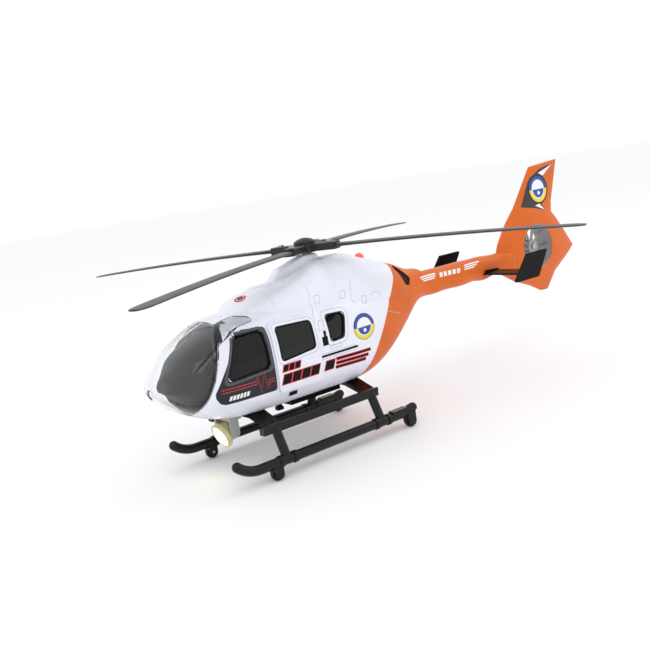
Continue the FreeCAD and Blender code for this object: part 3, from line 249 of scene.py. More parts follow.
def make_materials():
    """One material for each of the record's slots, and those of the decals."""
    matt = {"coat": 0.0, "shine": 0.3}
    dull = {"coat": 0.0, "shine": 0.1}
    return {
        "body_white": moulded_plastic("body_white", (0.79, 0.80, 0.88), 0.28, shade=0.03),
        "body_orange": moulded_plastic("body_orange", (0.68, 0.135, 0.016), 0.36, coat=0.0, shine=0.2),
        "clear": clear_plastic("clear", (0.97, 0.98, 0.985), roughness=0.008),
        "pane_clear": smoked_pane("pane_clear", (0.006, 0.006, 0.007), 0.72),
        "tinted": smoked_pane("tinted", (0.006, 0.007, 0.006), 0.96),
        "interior_dark": moulded_plastic("interior_dark", (0.05, 0.051, 0.05), 0.5, bump=0.004, **matt),
        "seat_black": moulded_plastic("seat_black", (0.008, 0.008, 0.009), 0.5, **matt),
        "black_plastic": moulded_plastic("black_plastic", (0.005, 0.005, 0.006), 0.3, **dull),
        "skid_black": moulded_plastic("skid_black", (0.005, 0.005, 0.006), 0.22, **matt),
        "wheel_black": moulded_plastic("wheel_black", (0.006, 0.006, 0.007), 0.4, **matt),
        "rotor_black": moulded_plastic("rotor_black", (0.018, 0.018, 0.019), 0.36, **matt),
        "cell_can": moulded_plastic("cell_can", (0.05, 0.22, 0.12), 0.25),
        "spring_steel": brushed_metal("spring_steel", (0.6, 0.6, 0.6)),
        "motor_steel": brushed_metal("motor_steel", (0.55, 0.56, 0.58)),
        "screw_steel": brushed_metal("screw_steel", (0.45, 0.45, 0.46)),
        "bush_brass": brushed_metal("bush_brass", (0.7, 0.5, 0.2)),
        "gear_plastic": moulded_plastic("gear_plastic", (0.75, 0.75, 0.70), 0.4),
        "board_green": moulded_plastic("board_green", (0.02, 0.2, 0.08), 0.35),
        "fan_grey": moulded_plastic("fan_grey", (0.30, 0.30, 0.31), 0.4),
        "bracket_grey": moulded_plastic("bracket_grey", (0.36, 0.36, 0.34), 0.38),
        "lamp_grey": moulded_plastic("lamp_grey", (0.62, 0.58, 0.30), 0.3),
        "lamp_lens": glowing_lens("lamp_lens", (1.0, 0.93, 0.6), (1.0, 0.86, 0.45), 4.0),
        "red_lens": glowing_lens("red_lens", (0.75, 0.03, 0.02), (1.0, 0.12, 0.06), 0.6),
        "decal_grey": moulded_plastic("decal_grey", (0.034, 0.032, 0.037), 0.34, coat=0.0, shine=0.12),
        "decal_dark": moulded_plastic("decal_dark", (0.045, 0.038, 0.042), 0.34, **matt),
        # Eyebrow sheet: a pale colour painted on the clear canopy tongues, painted light where they look
        # bright.
        "eyebrow_painted_light": moulded_plastic("eyebrow_painted_light", (0.74, 0.76, 0.82), 0.12, shade=0.15, coat=0.6),
        # Window bevel: a lighter grey ring, painted sheen where the sloped edge round the front window
        # catches light.
        "bevel_painted_sheen": moulded_plastic("bevel_painted_sheen", (0.085, 0.085, 0.095), 0.35, **matt),
        "decal_black": moulded_plastic("decal_black", (0.006, 0.006, 0.007), 0.34, **dull),
        "decal_red": moulded_plastic("decal_red", (0.66, 0.05, 0.045), 0.34, **matt),
        "decal_white": moulded_plastic("decal_white", (0.85, 0.85, 0.86), 0.3),
        "decal_blue": moulded_plastic("decal_blue", (0.035, 0.085, 0.36), 0.34, **matt),
        "decal_yellow": moulded_plastic("decal_yellow", (0.82, 0.66, 0.04), 0.34, **matt),
        # Groove lines: their grey is painted shade, the shadow that falls inside the engraved grooves.
        "groove_shade": moulded_plastic("groove_shade", (0.42, 0.43, 0.50), 0.5, coat=0.0),
    }


def dress_cad_nodes(materials):
    """Give every CAD node its slot's material and smooth shading across gentle bends."""
    smooth_below = math.radians(32)
    for row in frame["record"]["subparts"]:
        mesh = nodes[row["node"]].data
        mesh.materials.clear()
        mesh.materials.append(materials[row["material_slot"]])
        mesh.polygons.foreach_set("use_smooth", [True] * len(mesh.polygons))
        mesh.set_sharp_from_angle(angle=smooth_below)


# ---------------------------------------------------------------- flat shapes

def grown(points, distance):
    """Outline moved outward by a distance, whichever way round it runs."""
    area = sum(a[0] * b[1] - b[0] * a[1] for a, b in zip(points, points[1:] + points[:1]))
    outward = distance if area > 0 else -distance
    corners = []
    for index, point in enumerate(points):
        corner = Vector(point)
        before = (corner - Vector(points[index - 1])).normalized()
        after = (Vector(points[(index + 1) % len(points)]) - corner).normalized()
        normal_before = Vector((before.y, -before.x))
        normal_after = Vector((after.y, -after.x))
        middle = normal_before + normal_after
        corners.append(tuple(corner + middle * (2 * outward / max(middle.length_squared, 0.6))))
    return corners


def rounded(points, radius, steps=5):
    """Outline with an arc at each corner."""
    outline = []
    for index, point in enumerate(points):
        corner = Vector(point)
        before = (Vector(points[index - 1]) - corner).normalized()
        after = (Vector(points[(index + 1) % len(points)]) - corner).normalized()
        half_angle = before.angle(after) / 2
        reach = radius / math.tan(half_angle)
        start = corner + before * reach
        end = corner + after * reach
        for step in range(steps + 1):
            share = step / steps
            bend = start.lerp(corner, share).lerp(corner.lerp(end, share), share)
            outline.append(tuple(bend))
    return outline


def ribbon(points, width):
    """Outline of a strip of even width along a line."""
    left, right = [], []
    for index, point in enumerate(points):
        here = Vector(point)
        before = Vector(points[max(index - 1, 0)])
        after = Vector(points[min(index + 1, len(points) - 1)])
        along = ((here - before).normalized() + (after - here).normalized()).normalized()
        across = Vector((-along.y, along.x)) * (width / 2)
        left.append(tuple(here + across))
        right.append(tuple(here - across))
    return left + right[::-1]


def ellipse(centre, half_x, half_z, start=0.0, end=360.0, steps=40):
    """Points along an ellipse from one angle to another, in degrees."""
    points = []
    is_closed = end - start >= 360
    spans = steps if is_closed else steps - 1
    for step in range(steps):
        angle = math.radians(start + (end - start) * step / spans)
        points.append((centre[0] + half_x * math.cos(angle), centre[1] + half_z * math.sin(angle)))
    return points


def half_ring(centre, half_x, half_z, inner, start):
    """Half of a ring that begins at an angle, its inner edge being a share of its outer one."""
    outside = ellipse(centre, half_x, half_z, start, start + 180)
    inside = ellipse(centre, half_x * inner, half_z * inner, start, start + 180)
    return outside + inside[::-1]


def evenly_spaced(loop, count):
    """Points at equal steps round a loop."""
    corners = [Vector(point) for point in loop]
    lengths = [(b - a).length for a, b in zip(corners, corners[1:] + corners[:1])]
    step = sum(lengths) / count
    points, index, passed = [], 0, 0.0
    for number in range(count):
        while passed + lengths[index] < number * step:
            passed += lengths[index]
            index += 1
        start, end = corners[index], corners[(index + 1) % len(corners)]
        points.append(start.lerp(end, (number * step - passed) / lengths[index]))
    return points


def slanted_block(front, back, low, high, lean):
    """Parallelogram whose top leans aft."""
    return [(front, low), (front - lean, high), (back - lean, high), (back, low)]


# ---------------------------------------------------------------- decals

# Flat points, lifts, depths and widths are in millimetres. Flat points are (x, z) on a side.
DECAL_LIFT = 0.10
DECAL_DEPTH = 0.15
DECAL_GRID = 3.0
RAY_DISTANCE = 200.0 * MM
RAY_HEIGHT = 300.0 * MM
CABIN_SIDE = 157.0 * MM
SEAL_LAP = 0.9
SEAL_EDGE = 0.06
SEAL_FOOT = 0.7
SEAL_LIFT = 0.12
SEAL_STEPS = 120
SHEET_SMOOTH_BELOW = 40


def search_tree(names):
    """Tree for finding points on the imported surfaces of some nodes."""
    vertices, faces = [], []
    for name in names:
        start = len(vertices)
        mesh = nodes[name].data
        vertices.extend(vertex.co.copy() for vertex in mesh.vertices)
        faces.extend([start + index for index in face.vertices] for face in mesh.polygons)
    return BVHTree.FromPolygons(vertices, faces)


def densified(loop):
    """Loop with its long edges divided."""
    points = []
    for index, point in enumerate(loop):
        start, end = Vector(point), Vector(loop[(index + 1) % len(loop)])
        count = max(1, math.ceil((end - start).length / DECAL_GRID))
        points.extend(start.lerp(end, step / count) for step in range(count))
    return points


def holds(loop, point):
    """Whether a loop goes round a point."""
    inside = False
    for (x0, z0), (x1, z1) in zip(loop, list(loop[1:]) + [loop[0]]):
        if (z0 > point.y) != (z1 > point.y) and point.x < x0 + (point.y - z0) * (x1 - x0) / (z1 - z0):
            inside = not inside
    return inside


def filled(loops):
    """Triangles that fill flat loops, the inner ones being holes, on a fine grid."""
    points, edges = [], []
    for loop in loops:
        dense = densified(loop)
        start = len(points)
        points.extend(dense)
        edges.extend((start + i, start + (i + 1) % len(dense)) for i in range(len(dense)))
    low = [min(point[axis] for point in points) for axis in (0, 1)]
    high = [max(point[axis] for point in points) for axis in (0, 1)]
    columns = int((high[0] - low[0]) / DECAL_GRID)
    rows = int((high[1] - low[1]) / DECAL_GRID)
    for column in range(1, columns + 1):
        for row in range(1, rows + 1):
            points.append(Vector((low[0] + column * DECAL_GRID, low[1] + row * DECAL_GRID)))
    vertices, _, faces, _, _, _ = delaunay_2d_cdt(points, edges, [], 0, 1e-4)
    kept = []
    for face in faces:
        middle = sum((vertices[index] for index in face), Vector((0, 0))) / 3
        if sum(holds(loop, middle) for loop in loops) % 2 == 1:
            kept.append(list(face))
    return vertices, kept


def from_side(side):
    """Rays that look at one side of the helicopter from outside."""
    def ray(point):
        return Vector((point[0] * MM, side * RAY_DISTANCE, point[1] * MM)), Vector((0, -side, 0))
    return ray


def from_above(point):
    """Ray that looks down on the helicopter, for points given as (x, y)."""
    return Vector((point[0] * MM, point[1] * MM, RAY_HEIGHT)), Vector((0, 0, -1))


def decal(name, loops, ray, target, material, lift=DECAL_LIFT):
    """Thin closed sheet that lies on a curved surface, filling loops given in millimetres."""
    points, triangles = filled(loops)
    mesh = bmesh.new()
    upper, lower = {}, {}
    for index in sorted({index for triangle in triangles for index in triangle}):
        upper[index] = mesh.verts.new(surface_point(ray, points[index], target, lift))
        lower[index] = mesh.verts.new(surface_point(ray, points[index], target, -DECAL_DEPTH))
    edge_uses = {}
    for triangle in triangles:
        mesh.faces.new([upper[index] for index in triangle])
        mesh.faces.new([lower[index] for index in reversed(triangle)])
        for a, b in zip(triangle, triangle[1:] + triangle[:1]):
            edge_uses.setdefault(frozenset((a, b)), []).append((a, b))
    for uses in edge_uses.values():
        if len(uses) == 1:
            a, b = uses[0]
            mesh.faces.new([upper[b], upper[a], lower[a], lower[b]])
    return mesh_piece(name, mesh, material, SHEET_SMOOTH_BELOW)


def surface_point(ray, point, target, lift):
    """Point at a small height over a surface, in metres, for a flat point in millimetres."""
    origin, direction = ray(point)
    hit = target.ray_cast(origin, direction)[0]
    if hit is None:
        hit = target.find_nearest(origin + direction * CABIN_SIDE)[0]
    return hit - direction * (lift * MM)


def window_seal(name, outline, ray, shell, pane, material):
    """Black rubber that laps over a window's edge and runs down the hole's wall to the pane."""
    rings = []
    for growth, target, lift in ((SEAL_LAP, shell, SEAL_LIFT), (SEAL_EDGE, shell, SEAL_LIFT),
                                 (-SEAL_FOOT, pane, SEAL_LIFT), (-SEAL_FOOT, pane, 0.0),
                                 (SEAL_EDGE, shell, -SEAL_LIFT), (SEAL_LAP, shell, -SEAL_LIFT)):
        flat = rounded(grown(outline, growth), WINDOW_CORNER + growth)
        rings.append([surface_point(ray, point, target, lift) for point in evenly_spaced(flat, SEAL_STEPS)])
    mesh = bmesh.new()
    rows = [[mesh.verts.new(point) for point in ring] for ring in rings]
    for row, following in zip(rows, rows[1:] + rows[:1]):
        for index in range(SEAL_STEPS):
            after = (index + 1) % SEAL_STEPS
            mesh.faces.new([row[index], row[after], following[after], following[index]])
    return mesh_piece(name, mesh, material, SHEET_SMOOTH_BELOW)


def on_airframe(piece):
    """Piece that moves with the airframe, given back for further use."""
    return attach(piece, "airframe")


# ---------------------------------------------------------------- markings

# Outlines are (x, z) in millimetres, measured on the port side and repeated on the other.
DOOR_PANEL = [(82.2, 126.0), (103.2, 127.6), (111.5, 124.0), (140.0, 83.0), (139.8, 79.0),
              (136.0, 73.5), (131.0, 71.5), (82.2, 71.0)]
FRONT_WINDOW = [(129, 89.5), (112, 124), (86, 124), (86, 92)]
EYEBROW = [(121.8, 122.0), (112.5, 128.2), (104.5, 130.4), (89.6, 132.0), (88.6, 135.0),
           (99.0, 137.2), (112.0, 135.6), (117.5, 131.0)]
DOOR_WINDOW = [(75, 94.5), (75, 123), (39, 121.5), (39, 98)]
REAR_WINDOW = [(19.5, 98), (20, 121.5), (-1, 120.5), (5, 99)]
WINDOW_CORNER = 3.5
BEVEL_GROWTH = 3.0
BEVEL_CORNER = 5.5
PANEL_CORNER = 3.0
EYEBROW_LIFT = 0.06
PULSE = [(135, 83.4), (102.6, 82.9), (100.6, 86.2), (98.0, 75.6), (93.4, 88.4), (91.4, 76.2),
         (89.2, 81.2), (83.6, 81.0)]
PULSE_WIDTH = 3.2
PULSE_CORE_WIDTH = 1.9
DOOR_BLOCK_COUNT = 6
DOOR_BLOCK_FRONT = 129.0
DOOR_BLOCK_PITCH = 3.2
DOOR_BLOCK_WIDTH = 2.3
DOOR_BLOCK_ZS = (74.2, 78.0)
DOOR_BLOCK_LEAN = 1.2
STRIPE_ENDS = [((17.3, 81.6), (-24.5, 80.4)), ((17.8, 77.9), (-21.2, 76.4)), ((18.6, 74.2), (-17.8, 73.0))]
STRIPE_WIDTH = 3.3
STRIPE_CORE_WIDTH = 1.8
BLOCK_LEAN_SHARE = 0.35
BLOCK_FRONT_GAP = 0.5
BLOCK_BACK_GAP = 0.9
BLOCK_BORDER = 0.75
DOOR_FRONT_MARGIN = 2.0
DOOR_BACK_MARGIN = 5.1
SHORT_ROW_STARTS = 2.0
SHORT_ROW_ENDS = 21.0
SHORT_ROW_ZS = (85.4, 90.6)
LONG_ROW_ZS = (74.6, 82.6)
END_ROW_XS = (31.5, 20.5)
END_ROW_ZS = (74.2, 82.0)
EMBLEM_CENTRE = (-20.6, 102.4)
EMBLEM_HALF_WIDTH = 13.2
EMBLEM_HALF_HEIGHT = 12.0
FIN_EMBLEM_CENTRE = (-335.0, 189.6)
FIN_EMBLEM_RADIUS = 15.6
FIN_RING_WIDTH = 1.8
FIN_SWOOSH = [(-367.0, 215.2), (-352, 214), (-340.8, 211.6), (-329.9, 206.3), (-320.3, 199.6),
              (-302.5, 173.1), (-325.6, 168.8), (-341.0, 164.6), (-336, 176), (-349.4, 208.0)]
FIN_FLASHES = [[(-365.5, 214.8), (-339.0, 207.6), (-346.5, 203.6)],
               [(-325.8, 171.6), (-333.5, 173.4), (-340.4, 165.2)]]
FLASH_ROWS = 3
FLASH_Z = 121.9
FLASH_PITCH = 2.0
FLASH_HEIGHT = 1.2
FLASH_LENGTH = 17.0
FLASH_GROWTH = 3.4
FORE_FLASH_X = -130.5
AFT_FLASH_X = -192.0
FORE_STEP = 1.7
AFT_STEP = 1.4
BOOM_BLOCK_COUNT = 5
BOOM_BLOCK_X = -154.5
BOOM_BLOCK_PITCH = 6.6
BOOM_BLOCK_WIDTH = 4.6
BOOM_BLOCK_HEIGHT = 4.4
BOOM_BLOCK_Z = 121.6
BOOM_BLOCK_FALL = 0.2
BOOM_BLOCK_LEAN = 1.6
TAILPLANE_PATCH = [(-220.5, 115.8), (-247.0, 114.6), (-251.0, 108.4), (-222.5, 107.6)]

# Lifts of decals that lie over one another, in millimetres above the surface.
LAYER = 0.06
SECOND_LIFT = 0.18
THIRD_LIFT = 0.20
FOURTH_LIFT = 0.28

# Radii of the emblem's parts, as shares of its half width and half height.
RING_SHARE = 0.96
RING_INNER_SHARE = 0.72
FIELD_SHARE = 0.70
SEA_SHARE = 0.62
DOT_SHARE = 0.14
DOT_DROP_SHARE = 0.28


def emblem(name, centre, half_width, half_height, ray, target, materials, base=DECAL_LIFT):
    """Round badge: a blue and yellow ring about a white field with a blue lower half."""
    ring_width, ring_height = half_width * RING_SHARE, half_height * RING_SHARE
    whole = ellipse(centre, half_width, half_height)
    upper = half_ring(centre, ring_width, ring_height, RING_INNER_SHARE, 0)
    lower = half_ring(centre, ring_width, ring_height, RING_INNER_SHARE, 180)
    field = ellipse(centre, half_width * FIELD_SHARE, half_height * FIELD_SHARE)
    sea = ellipse(centre, half_width * SEA_SHARE, half_height * SEA_SHARE, 180, 360)
    dot_centre = (centre[0], centre[1] - half_height * DOT_DROP_SHARE)
    dot = ellipse(dot_centre, half_width * DOT_SHARE, half_height * DOT_SHARE)
    parts = [
        ("edge", whole, "decal_black", 0),
        ("upper", upper, "decal_blue", 1),
        ("lower", lower, "decal_yellow", 1),
        ("field", field, "decal_white", 1),
        ("sea", sea, "decal_blue", 2),
        ("dot", dot, "decal_white", 3),
    ]
    for part, loop, slot, layer in parts:
        lift = base + layer * LAYER
        on_airframe(decal(name + "_" + part, [loop], ray, target, materials[slot], lift))


def make_front_door_markings(label, ray, shell, materials):
    """Grey panel about the front window, with a lighter ring of painted sheen for the window's bevel, a
    pulse line and a row of blocks.
    """
    panel = rounded(DOOR_PANEL, PANEL_CORNER)
    window = rounded(grown(FRONT_WINDOW, SEAL_EDGE), WINDOW_CORNER + SEAL_EDGE)
    on_airframe(decal("door_panel_" + label, [panel, window], ray, shell, materials["decal_grey"]))
    # Lighter ring round the window: painted sheen on the window's bevel.
    bevel = rounded(grown(FRONT_WINDOW, BEVEL_GROWTH), BEVEL_CORNER)
    rubber = rounded(grown(FRONT_WINDOW, SEAL_LAP), WINDOW_CORNER + SEAL_LAP)
    grey = materials["bevel_painted_sheen"]
    on_airframe(decal("window_bevel_sheen_" + label, [bevel, rubber], ray, shell, grey, SECOND_LIFT))
    edge = ribbon(PULSE, PULSE_WIDTH)
    core = ribbon(PULSE, PULSE_CORE_WIDTH)
    on_airframe(decal("pulse_edge_" + label, [edge], ray, shell, materials["decal_red"], THIRD_LIFT))
    on_airframe(decal("pulse_core_" + label, [core], ray, shell, materials["decal_grey"], FOURTH_LIFT))
    for index in range(DOOR_BLOCK_COUNT):
        front = DOOR_BLOCK_FRONT - index * DOOR_BLOCK_PITCH
        block = slanted_block(front, front - DOOR_BLOCK_WIDTH, *DOOR_BLOCK_ZS, DOOR_BLOCK_LEAN)
        name = "door_block_%s_%d" % (label, index + 1)
        on_airframe(decal(name, [block], ray, shell, materials["decal_white"], THIRD_LIFT))


def make_block_row(name, front, back, low, high, count, ride_on, ray, target, materials):
    """Row of slanted black blocks with red edges."""
    step = (front - back) / count
    lean = (high - low) * BLOCK_LEAN_SHARE
    for index in range(count):
        start = front - index * step
        block = slanted_block(start - BLOCK_FRONT_GAP, start - step + BLOCK_BACK_GAP, low, high, lean)
        border = grown(block, BLOCK_BORDER)
        number = "_%d" % (index + 1)
        edge = decal(name + "_edge" + number, [border], ray, target, materials["decal_red"])
        core = decal(name + "_core" + number, [block], ray, target, materials["decal_black"], SECOND_LIFT)
        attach(edge, ride_on)
        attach(core, ride_on)


def make_side_markings(side, label, materials):
    """All markings of one side."""
    ray = from_side(side)
    shell = search_tree(["cabin_shell_" + label, "engine_cowling", "tail_shell_" + label])
    door = search_tree(["sliding_door_" + label])
    door_low, door_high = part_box("sliding_door_" + label)
    door_front = door_high.x / MM - DOOR_FRONT_MARGIN
    door_back = door_low.x / MM + DOOR_BACK_MARGIN
    door_body = "sliding_door_" + label

    make_front_door_markings(label, ray, shell, materials)
    make_block_row("short_row_" + label, door_front - SHORT_ROW_STARTS, door_front - SHORT_ROW_ENDS,
                   *SHORT_ROW_ZS, 3, door_body, ray, door, materials)
    make_block_row("long_row_" + label, door_front, door_back, *LONG_ROW_ZS, 4,
                   door_body, ray, door, materials)
    make_block_row("end_row_" + label, *END_ROW_XS, *END_ROW_ZS, 1, "airframe", ray, shell, materials)
    for index, (start, end) in enumerate(STRIPE_ENDS):
        number = "_%d" % (index + 1)
        for kind, width, lift in (("red", STRIPE_WIDTH, DECAL_LIFT),
                                  ("black", STRIPE_CORE_WIDTH, SECOND_LIFT)):
            strip = decal("stripe_" + kind + "_" + label + number, [ribbon([start, end], width)],
                          ray, shell, materials["decal_" + kind], lift)
            on_airframe(strip)
    emblem("side_emblem_" + label, EMBLEM_CENTRE, EMBLEM_HALF_WIDTH, EMBLEM_HALF_HEIGHT,
           ray, shell, materials)
    panes = search_tree(["side_windows_" + label])
    door_pane = search_tree(["door_window_" + label])
    for name, outline, outer, pane, body in (("front", FRONT_WINDOW, shell, panes, "airframe"),
                                             ("door", DOOR_WINDOW, door, door_pane, door_body),
                                             ("rear", REAR_WINDOW, shell, panes, "airframe")):
        seal_name = name + "_window_seal_" + label
        seal = window_seal(seal_name, outline, ray, outer, pane, materials["decal_black"])
        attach(seal, body)


def make_tail_markings(side, label, materials):
    """Swoosh and emblem on the fin, and flashes and blocks along the boom."""
    ray = from_side(side)
    tail = search_tree(["tail_shell_" + label])
    white = materials["decal_white"]
    on_airframe(decal("fin_swoosh_" + label, [FIN_SWOOSH], ray, tail, materials["decal_dark"]))
    for index, flash in enumerate(FIN_FLASHES):
        name = "fin_flash_%s_%d" % (label, index + 1)
        on_airframe(decal(name, [flash], ray, tail, white, SECOND_LIFT))
    ring_radius = FIN_EMBLEM_RADIUS + FIN_RING_WIDTH
    ring = ellipse(FIN_EMBLEM_CENTRE, ring_radius, ring_radius)
    on_airframe(decal("fin_ring_" + label, [ring], ray, tail, materials["decal_dark"], SECOND_LIFT))
    emblem("fin_emblem_" + label, FIN_EMBLEM_CENTRE, FIN_EMBLEM_RADIUS, FIN_EMBLEM_RADIUS,
           ray, tail, materials, SECOND_LIFT + LAYER)
    for row in range(FLASH_ROWS):
        low = FLASH_Z + row * FLASH_PITCH
        length = FLASH_LENGTH + row * FLASH_GROWTH
        for name, front, lean in (("fore", FORE_FLASH_X + row * FORE_STEP, -1.0),
                                  ("aft", AFT_FLASH_X - row * AFT_STEP, 1.0)):
            block = slanted_block(front, front - length, low, low + FLASH_HEIGHT, lean)
            on_airframe(decal("boom_flash_%s_%s_%d" % (name, label, row + 1), [block], ray, tail, white))
    for index in range(BOOM_BLOCK_COUNT):
        front = BOOM_BLOCK_X - index * BOOM_BLOCK_PITCH
        low = BOOM_BLOCK_Z - index * BOOM_BLOCK_FALL
        block = slanted_block(front, front - BOOM_BLOCK_WIDTH, low, low + BOOM_BLOCK_HEIGHT, BOOM_BLOCK_LEAN)
        on_airframe(decal("boom_block_%s_%d" % (label, index + 1), [block], ray, tail, white))
    on_airframe(decal("tailplane_patch_" + label, [TAILPLANE_PATCH], ray, tail, materials["decal_black"]))


# ---------------------------------------------------------------- panel lines

SIDE_GROOVES = [
    [(26.1, 149.0), (29.3, 134.0), (27.5, 130.6)],
    [(-19.1, 147.0), (-16.2, 128.4), (-20.0, 123.6)],
    [(-53.5, 109.4), (-75.0, 102.4)],
    [(64.0, 150.0), (63.0, 146.0), (62.6, 138.4)],
    [(27.6, 129.6), (31.6, 124.0), (33.0, 112.0), (32.6, 92.0)],
    [(62.0, 66.2), (34.0, 65.6)],
    [(45.0, 89.6), (-6.0, 89.0)],
    [(45.0, 84.8), (-6.0, 84.6)],
    [(-39.3, 127.6), (-43.0, 129.4), (-48.0, 129.2), (-52.4, 126.8), (-51.6, 123.8)],
]
GROOVE_LOOPS = [
    [(23.4, 118.6), (28.6, 118.6), (30.6, 110.2), (25.6, 110.0)],
    [(22.0, 95.4), (8.8, 94.4), (8.8, 91.4), (22.4, 91.6)],
    [(17.3, 139.4), (22.8, 139.8), (24.4, 131.9), (18.9, 131.9)],
    [(-10.6, 138.2), (-4.8, 138.2), (-2.9, 131.2), (-8.7, 130.8)],
    [(-34.2, 128.6), (-28.8, 128.9), (-26.6, 121.6), (-32.4, 121.0)],
]
GROOVE_WIDTH = 0.42
GROOVE_LIFT = 0.05
COVER_CORNER = 0.9
REAR_LINE_GROWTH = 4.2
DOOR_LINE_GROWTH = 3.6
WINDOW_LINE_CORNER = 6.0


def make_panel_lines(side, label, materials):
    """Fine shadow lines where the mouldings carry engraved panels and covers."""
    ray = from_side(side)
    shell = search_tree(["cabin_shell_" + label, "engine_cowling", "tail_shell_" + label])
    for index, line in enumerate(SIDE_GROOVES):
        name = "panel_line_%s_%d" % (label, index + 1)
        on_airframe(decal(name, [ribbon(line, GROOVE_WIDTH)], ray, shell, materials["groove_shade"], GROOVE_LIFT))
    loops = [rounded(loop, COVER_CORNER, 3) for loop in GROOVE_LOOPS]
    loops.append(rounded(grown(REAR_WINDOW, REAR_LINE_GROWTH), WINDOW_LINE_CORNER))
    for index, loop in enumerate(loops):
        name = "panel_loop_%s_%d" % (label, index + 1)
        inner = grown(loop, -GROOVE_WIDTH)
        on_airframe(decal(name, [loop, inner], ray, shell, materials["groove_shade"], GROOVE_LIFT))
    door = search_tree(["sliding_door_" + label])
    outer = rounded(grown(DOOR_WINDOW, DOOR_LINE_GROWTH), WINDOW_LINE_CORNER)
    inner = grown(outer, -GROOVE_WIDTH)
    line = decal("door_line_" + label, [outer, inner], ray, door, materials["groove_shade"], GROOVE_LIFT)
    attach(line, "sliding_door_" + label)


BADGE_CENTRE = (82.0, 7.4)
BADGE_FLATNESS = 0.9
BADGE_LIFT = 0.08


def make_roof_badge(materials):
    """Plain round red badge on the port side of the roof's ridge."""
    roof = search_tree(["engine_cowling", "canopy"])
    rings = [("edge", 6.2, "decal_white"), ("disc", 5.6, "decal_red"),
             ("ring", 3.6, "decal_white"), ("heart", 3.1, "decal_dark")]
    for layer, (part, radius, slot) in enumerate(rings):
        disc = ellipse(BADGE_CENTRE, radius, radius * BADGE_FLATNESS)
        lift = BADGE_LIFT + layer * LAYER
        on_airframe(decal("roof_badge_" + part, [disc], from_above, roof, materials[slot], lift))


def make_eyebrows(materials):
    """Pale sheet on the clear tongues that the canopy sends over the front doors: painted light where they
    look bright.
    """
    canopy = search_tree(["canopy"])
    for side, label in ((1, "port"), (-1, "starboard")):
        pale = materials["eyebrow_painted_light"]
        on_airframe(decal("eyebrow_" + label, [EYEBROW], from_side(side), canopy, pale, EYEBROW_LIFT))


# ---------------------------------------------------------------- solid details

def mesh_piece(name, mesh, material, smooth_below=30):
    """Object from a finished mesh, smooth across edges that bend less than an angle in degrees."""
    bmesh.ops.recalc_face_normals(mesh, faces=mesh.faces)
    data = bpy.data.meshes.new(name)
    mesh.to_mesh(data)
    mesh.free()
    data.polygons.foreach_set("use_smooth", [True] * len(data.polygons))
    data.set_sharp_from_angle(angle=math.radians(smooth_below))
    data.materials.append(material)
    piece = bpy.data.objects.new(name, data)
    bpy.context.scene.collection.objects.link(piece)
    return piece


def soft_bar(name, low, high, radius, material):
    """Bar between two corners with rounded edges."""
    mesh = bmesh.new()
    corners = bmesh.ops.create_cube(mesh, size=1.0)["verts"]
    for vertex in corners:
        vertex.co = Vector([low[i] + (vertex.co[i] + 0.5) * (high[i] - low[i]) for i in range(3)])
    bmesh.ops.bevel(mesh, geom=mesh.edges[:], offset=radius, segments=3, profile=0.5, affect="EDGES")
    return mesh_piece(name, mesh, material)


SEAT_BACK_DEPTH = 10.5 * MM
RIB_COUNT = 6
RIB_START = 11.5 * MM
RIB_PITCH = 4.8 * MM
RIB_HEIGHT = 3.8 * MM
RIB_DEPTH = 3.0 * MM
RIB_LEAN = 0.68 * MM
RIB_SIDE_GAP = 1.5 * MM
RIB_RADIUS = 1.1 * MM


def make_seat_ribs(materials):
    """Padded ribs across the backs of both seats."""
    for seat in ("pilot_seat", "copilot_seat"):
        low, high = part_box(seat)
        for index in range(RIB_COUNT):
            front = low.x + SEAT_BACK_DEPTH - index * RIB_LEAN
            z = low.z + RIB_START + index * RIB_PITCH
            rib = soft_bar("%s_rib_%d" % (seat, index + 1),
                           (front - RIB_DEPTH, low.y + RIB_SIDE_GAP, z),
                           (front, high.y - RIB_SIDE_GAP, z + RIB_HEIGHT),
                           RIB_RADIUS, materials["seat_black"])
            on_airframe(rib)


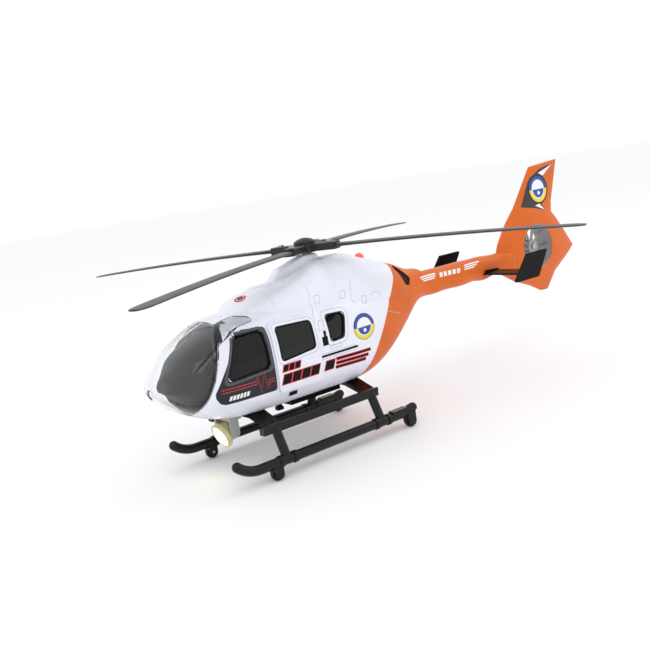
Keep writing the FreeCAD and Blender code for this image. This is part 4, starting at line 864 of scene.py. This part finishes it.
def lathe(name, profile, centre, material, steps=48):
    """Ring turned about a line across the helicopter, from (radius, y) points."""
    mesh = bmesh.new()
    rings = []
    for step in range(steps):
        angle = 2 * math.pi * step / steps
        cosine, sine = math.cos(angle), math.sin(angle)
        rings.append([mesh.verts.new(centre + Vector((radius * cosine, y, radius * sine)))
                      for radius, y in profile])
    for ring, following in zip(rings, rings[1:] + rings[:1]):
        for index in range(len(profile)):
            after = (index + 1) % len(profile)
            mesh.faces.new([ring[index], ring[after], following[after], following[index]])
    return mesh_piece(name, mesh, material)


LINER_OUTER = 24.96 * MM
LINER_INNER = 24.25 * MM
LINER_HALF = 10.8 * MM


def make_duct_liner(materials):
    """Grey sleeve inside the fan duct."""
    low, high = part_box("tail_fan")
    centre = (low + high) / 2
    centre.y = 0.0
    profile = [(LINER_OUTER, -LINER_HALF), (LINER_OUTER, LINER_HALF),
               (LINER_INNER, LINER_HALF), (LINER_INNER, -LINER_HALF)]
    liner = lathe("duct_liner", profile, centre, materials["fan_grey"])
    on_airframe(liner)


HUB_OUTER = 3.6 * MM
HUB_INNER = 2.2 * MM
HUB_SINK = 0.4 * MM
HUB_RISE = 0.18 * MM


def make_wheel_hubs(materials):
    """Raised hub ring on both faces of each wheel."""
    for end in ("front", "rear"):
        for side in ("port", "starboard"):
            body = "wheel_" + end + "_" + side
            low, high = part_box(body)
            centre = (low + high) / 2
            half = (high.y - low.y) / 2
            for face, sign in (("outer", 1), ("inner", -1)):
                base, top = sign * (half - HUB_SINK), sign * (half + HUB_RISE)
                profile = [(HUB_OUTER, base), (HUB_OUTER, top), (HUB_INNER, top), (HUB_INNER, base)]
                ring = lathe(body + "_hub_" + face, profile, centre, materials["wheel_black"], 32)
                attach(ring, body)


FRONT_PANE_X = 80.0 * MM


def clear_front_panes(materials):
    """The front door panes are less dark than the panes behind the doors."""
    for label in ("port", "starboard"):
        mesh = nodes["side_windows_" + label].data
        mesh.materials.append(materials["pane_clear"])
        for face in mesh.polygons:
            if face.center.x > FRONT_PANE_X:
                face.material_index = 1


def main():
    """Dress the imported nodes, then add the markings and the small solid details."""
    materials = make_materials()
    make_camera()
    make_stage()
    dress_cad_nodes(materials)
    clear_front_panes(materials)
    for side, label in ((1, "port"), (-1, "starboard")):
        make_side_markings(side, label, materials)
        make_tail_markings(side, label, materials)
        make_panel_lines(side, label, materials)
    make_roof_badge(materials)
    make_eyebrows(materials)
    make_seat_ribs(materials)
    make_duct_liner(materials)
    make_wheel_hubs(materials)


main()
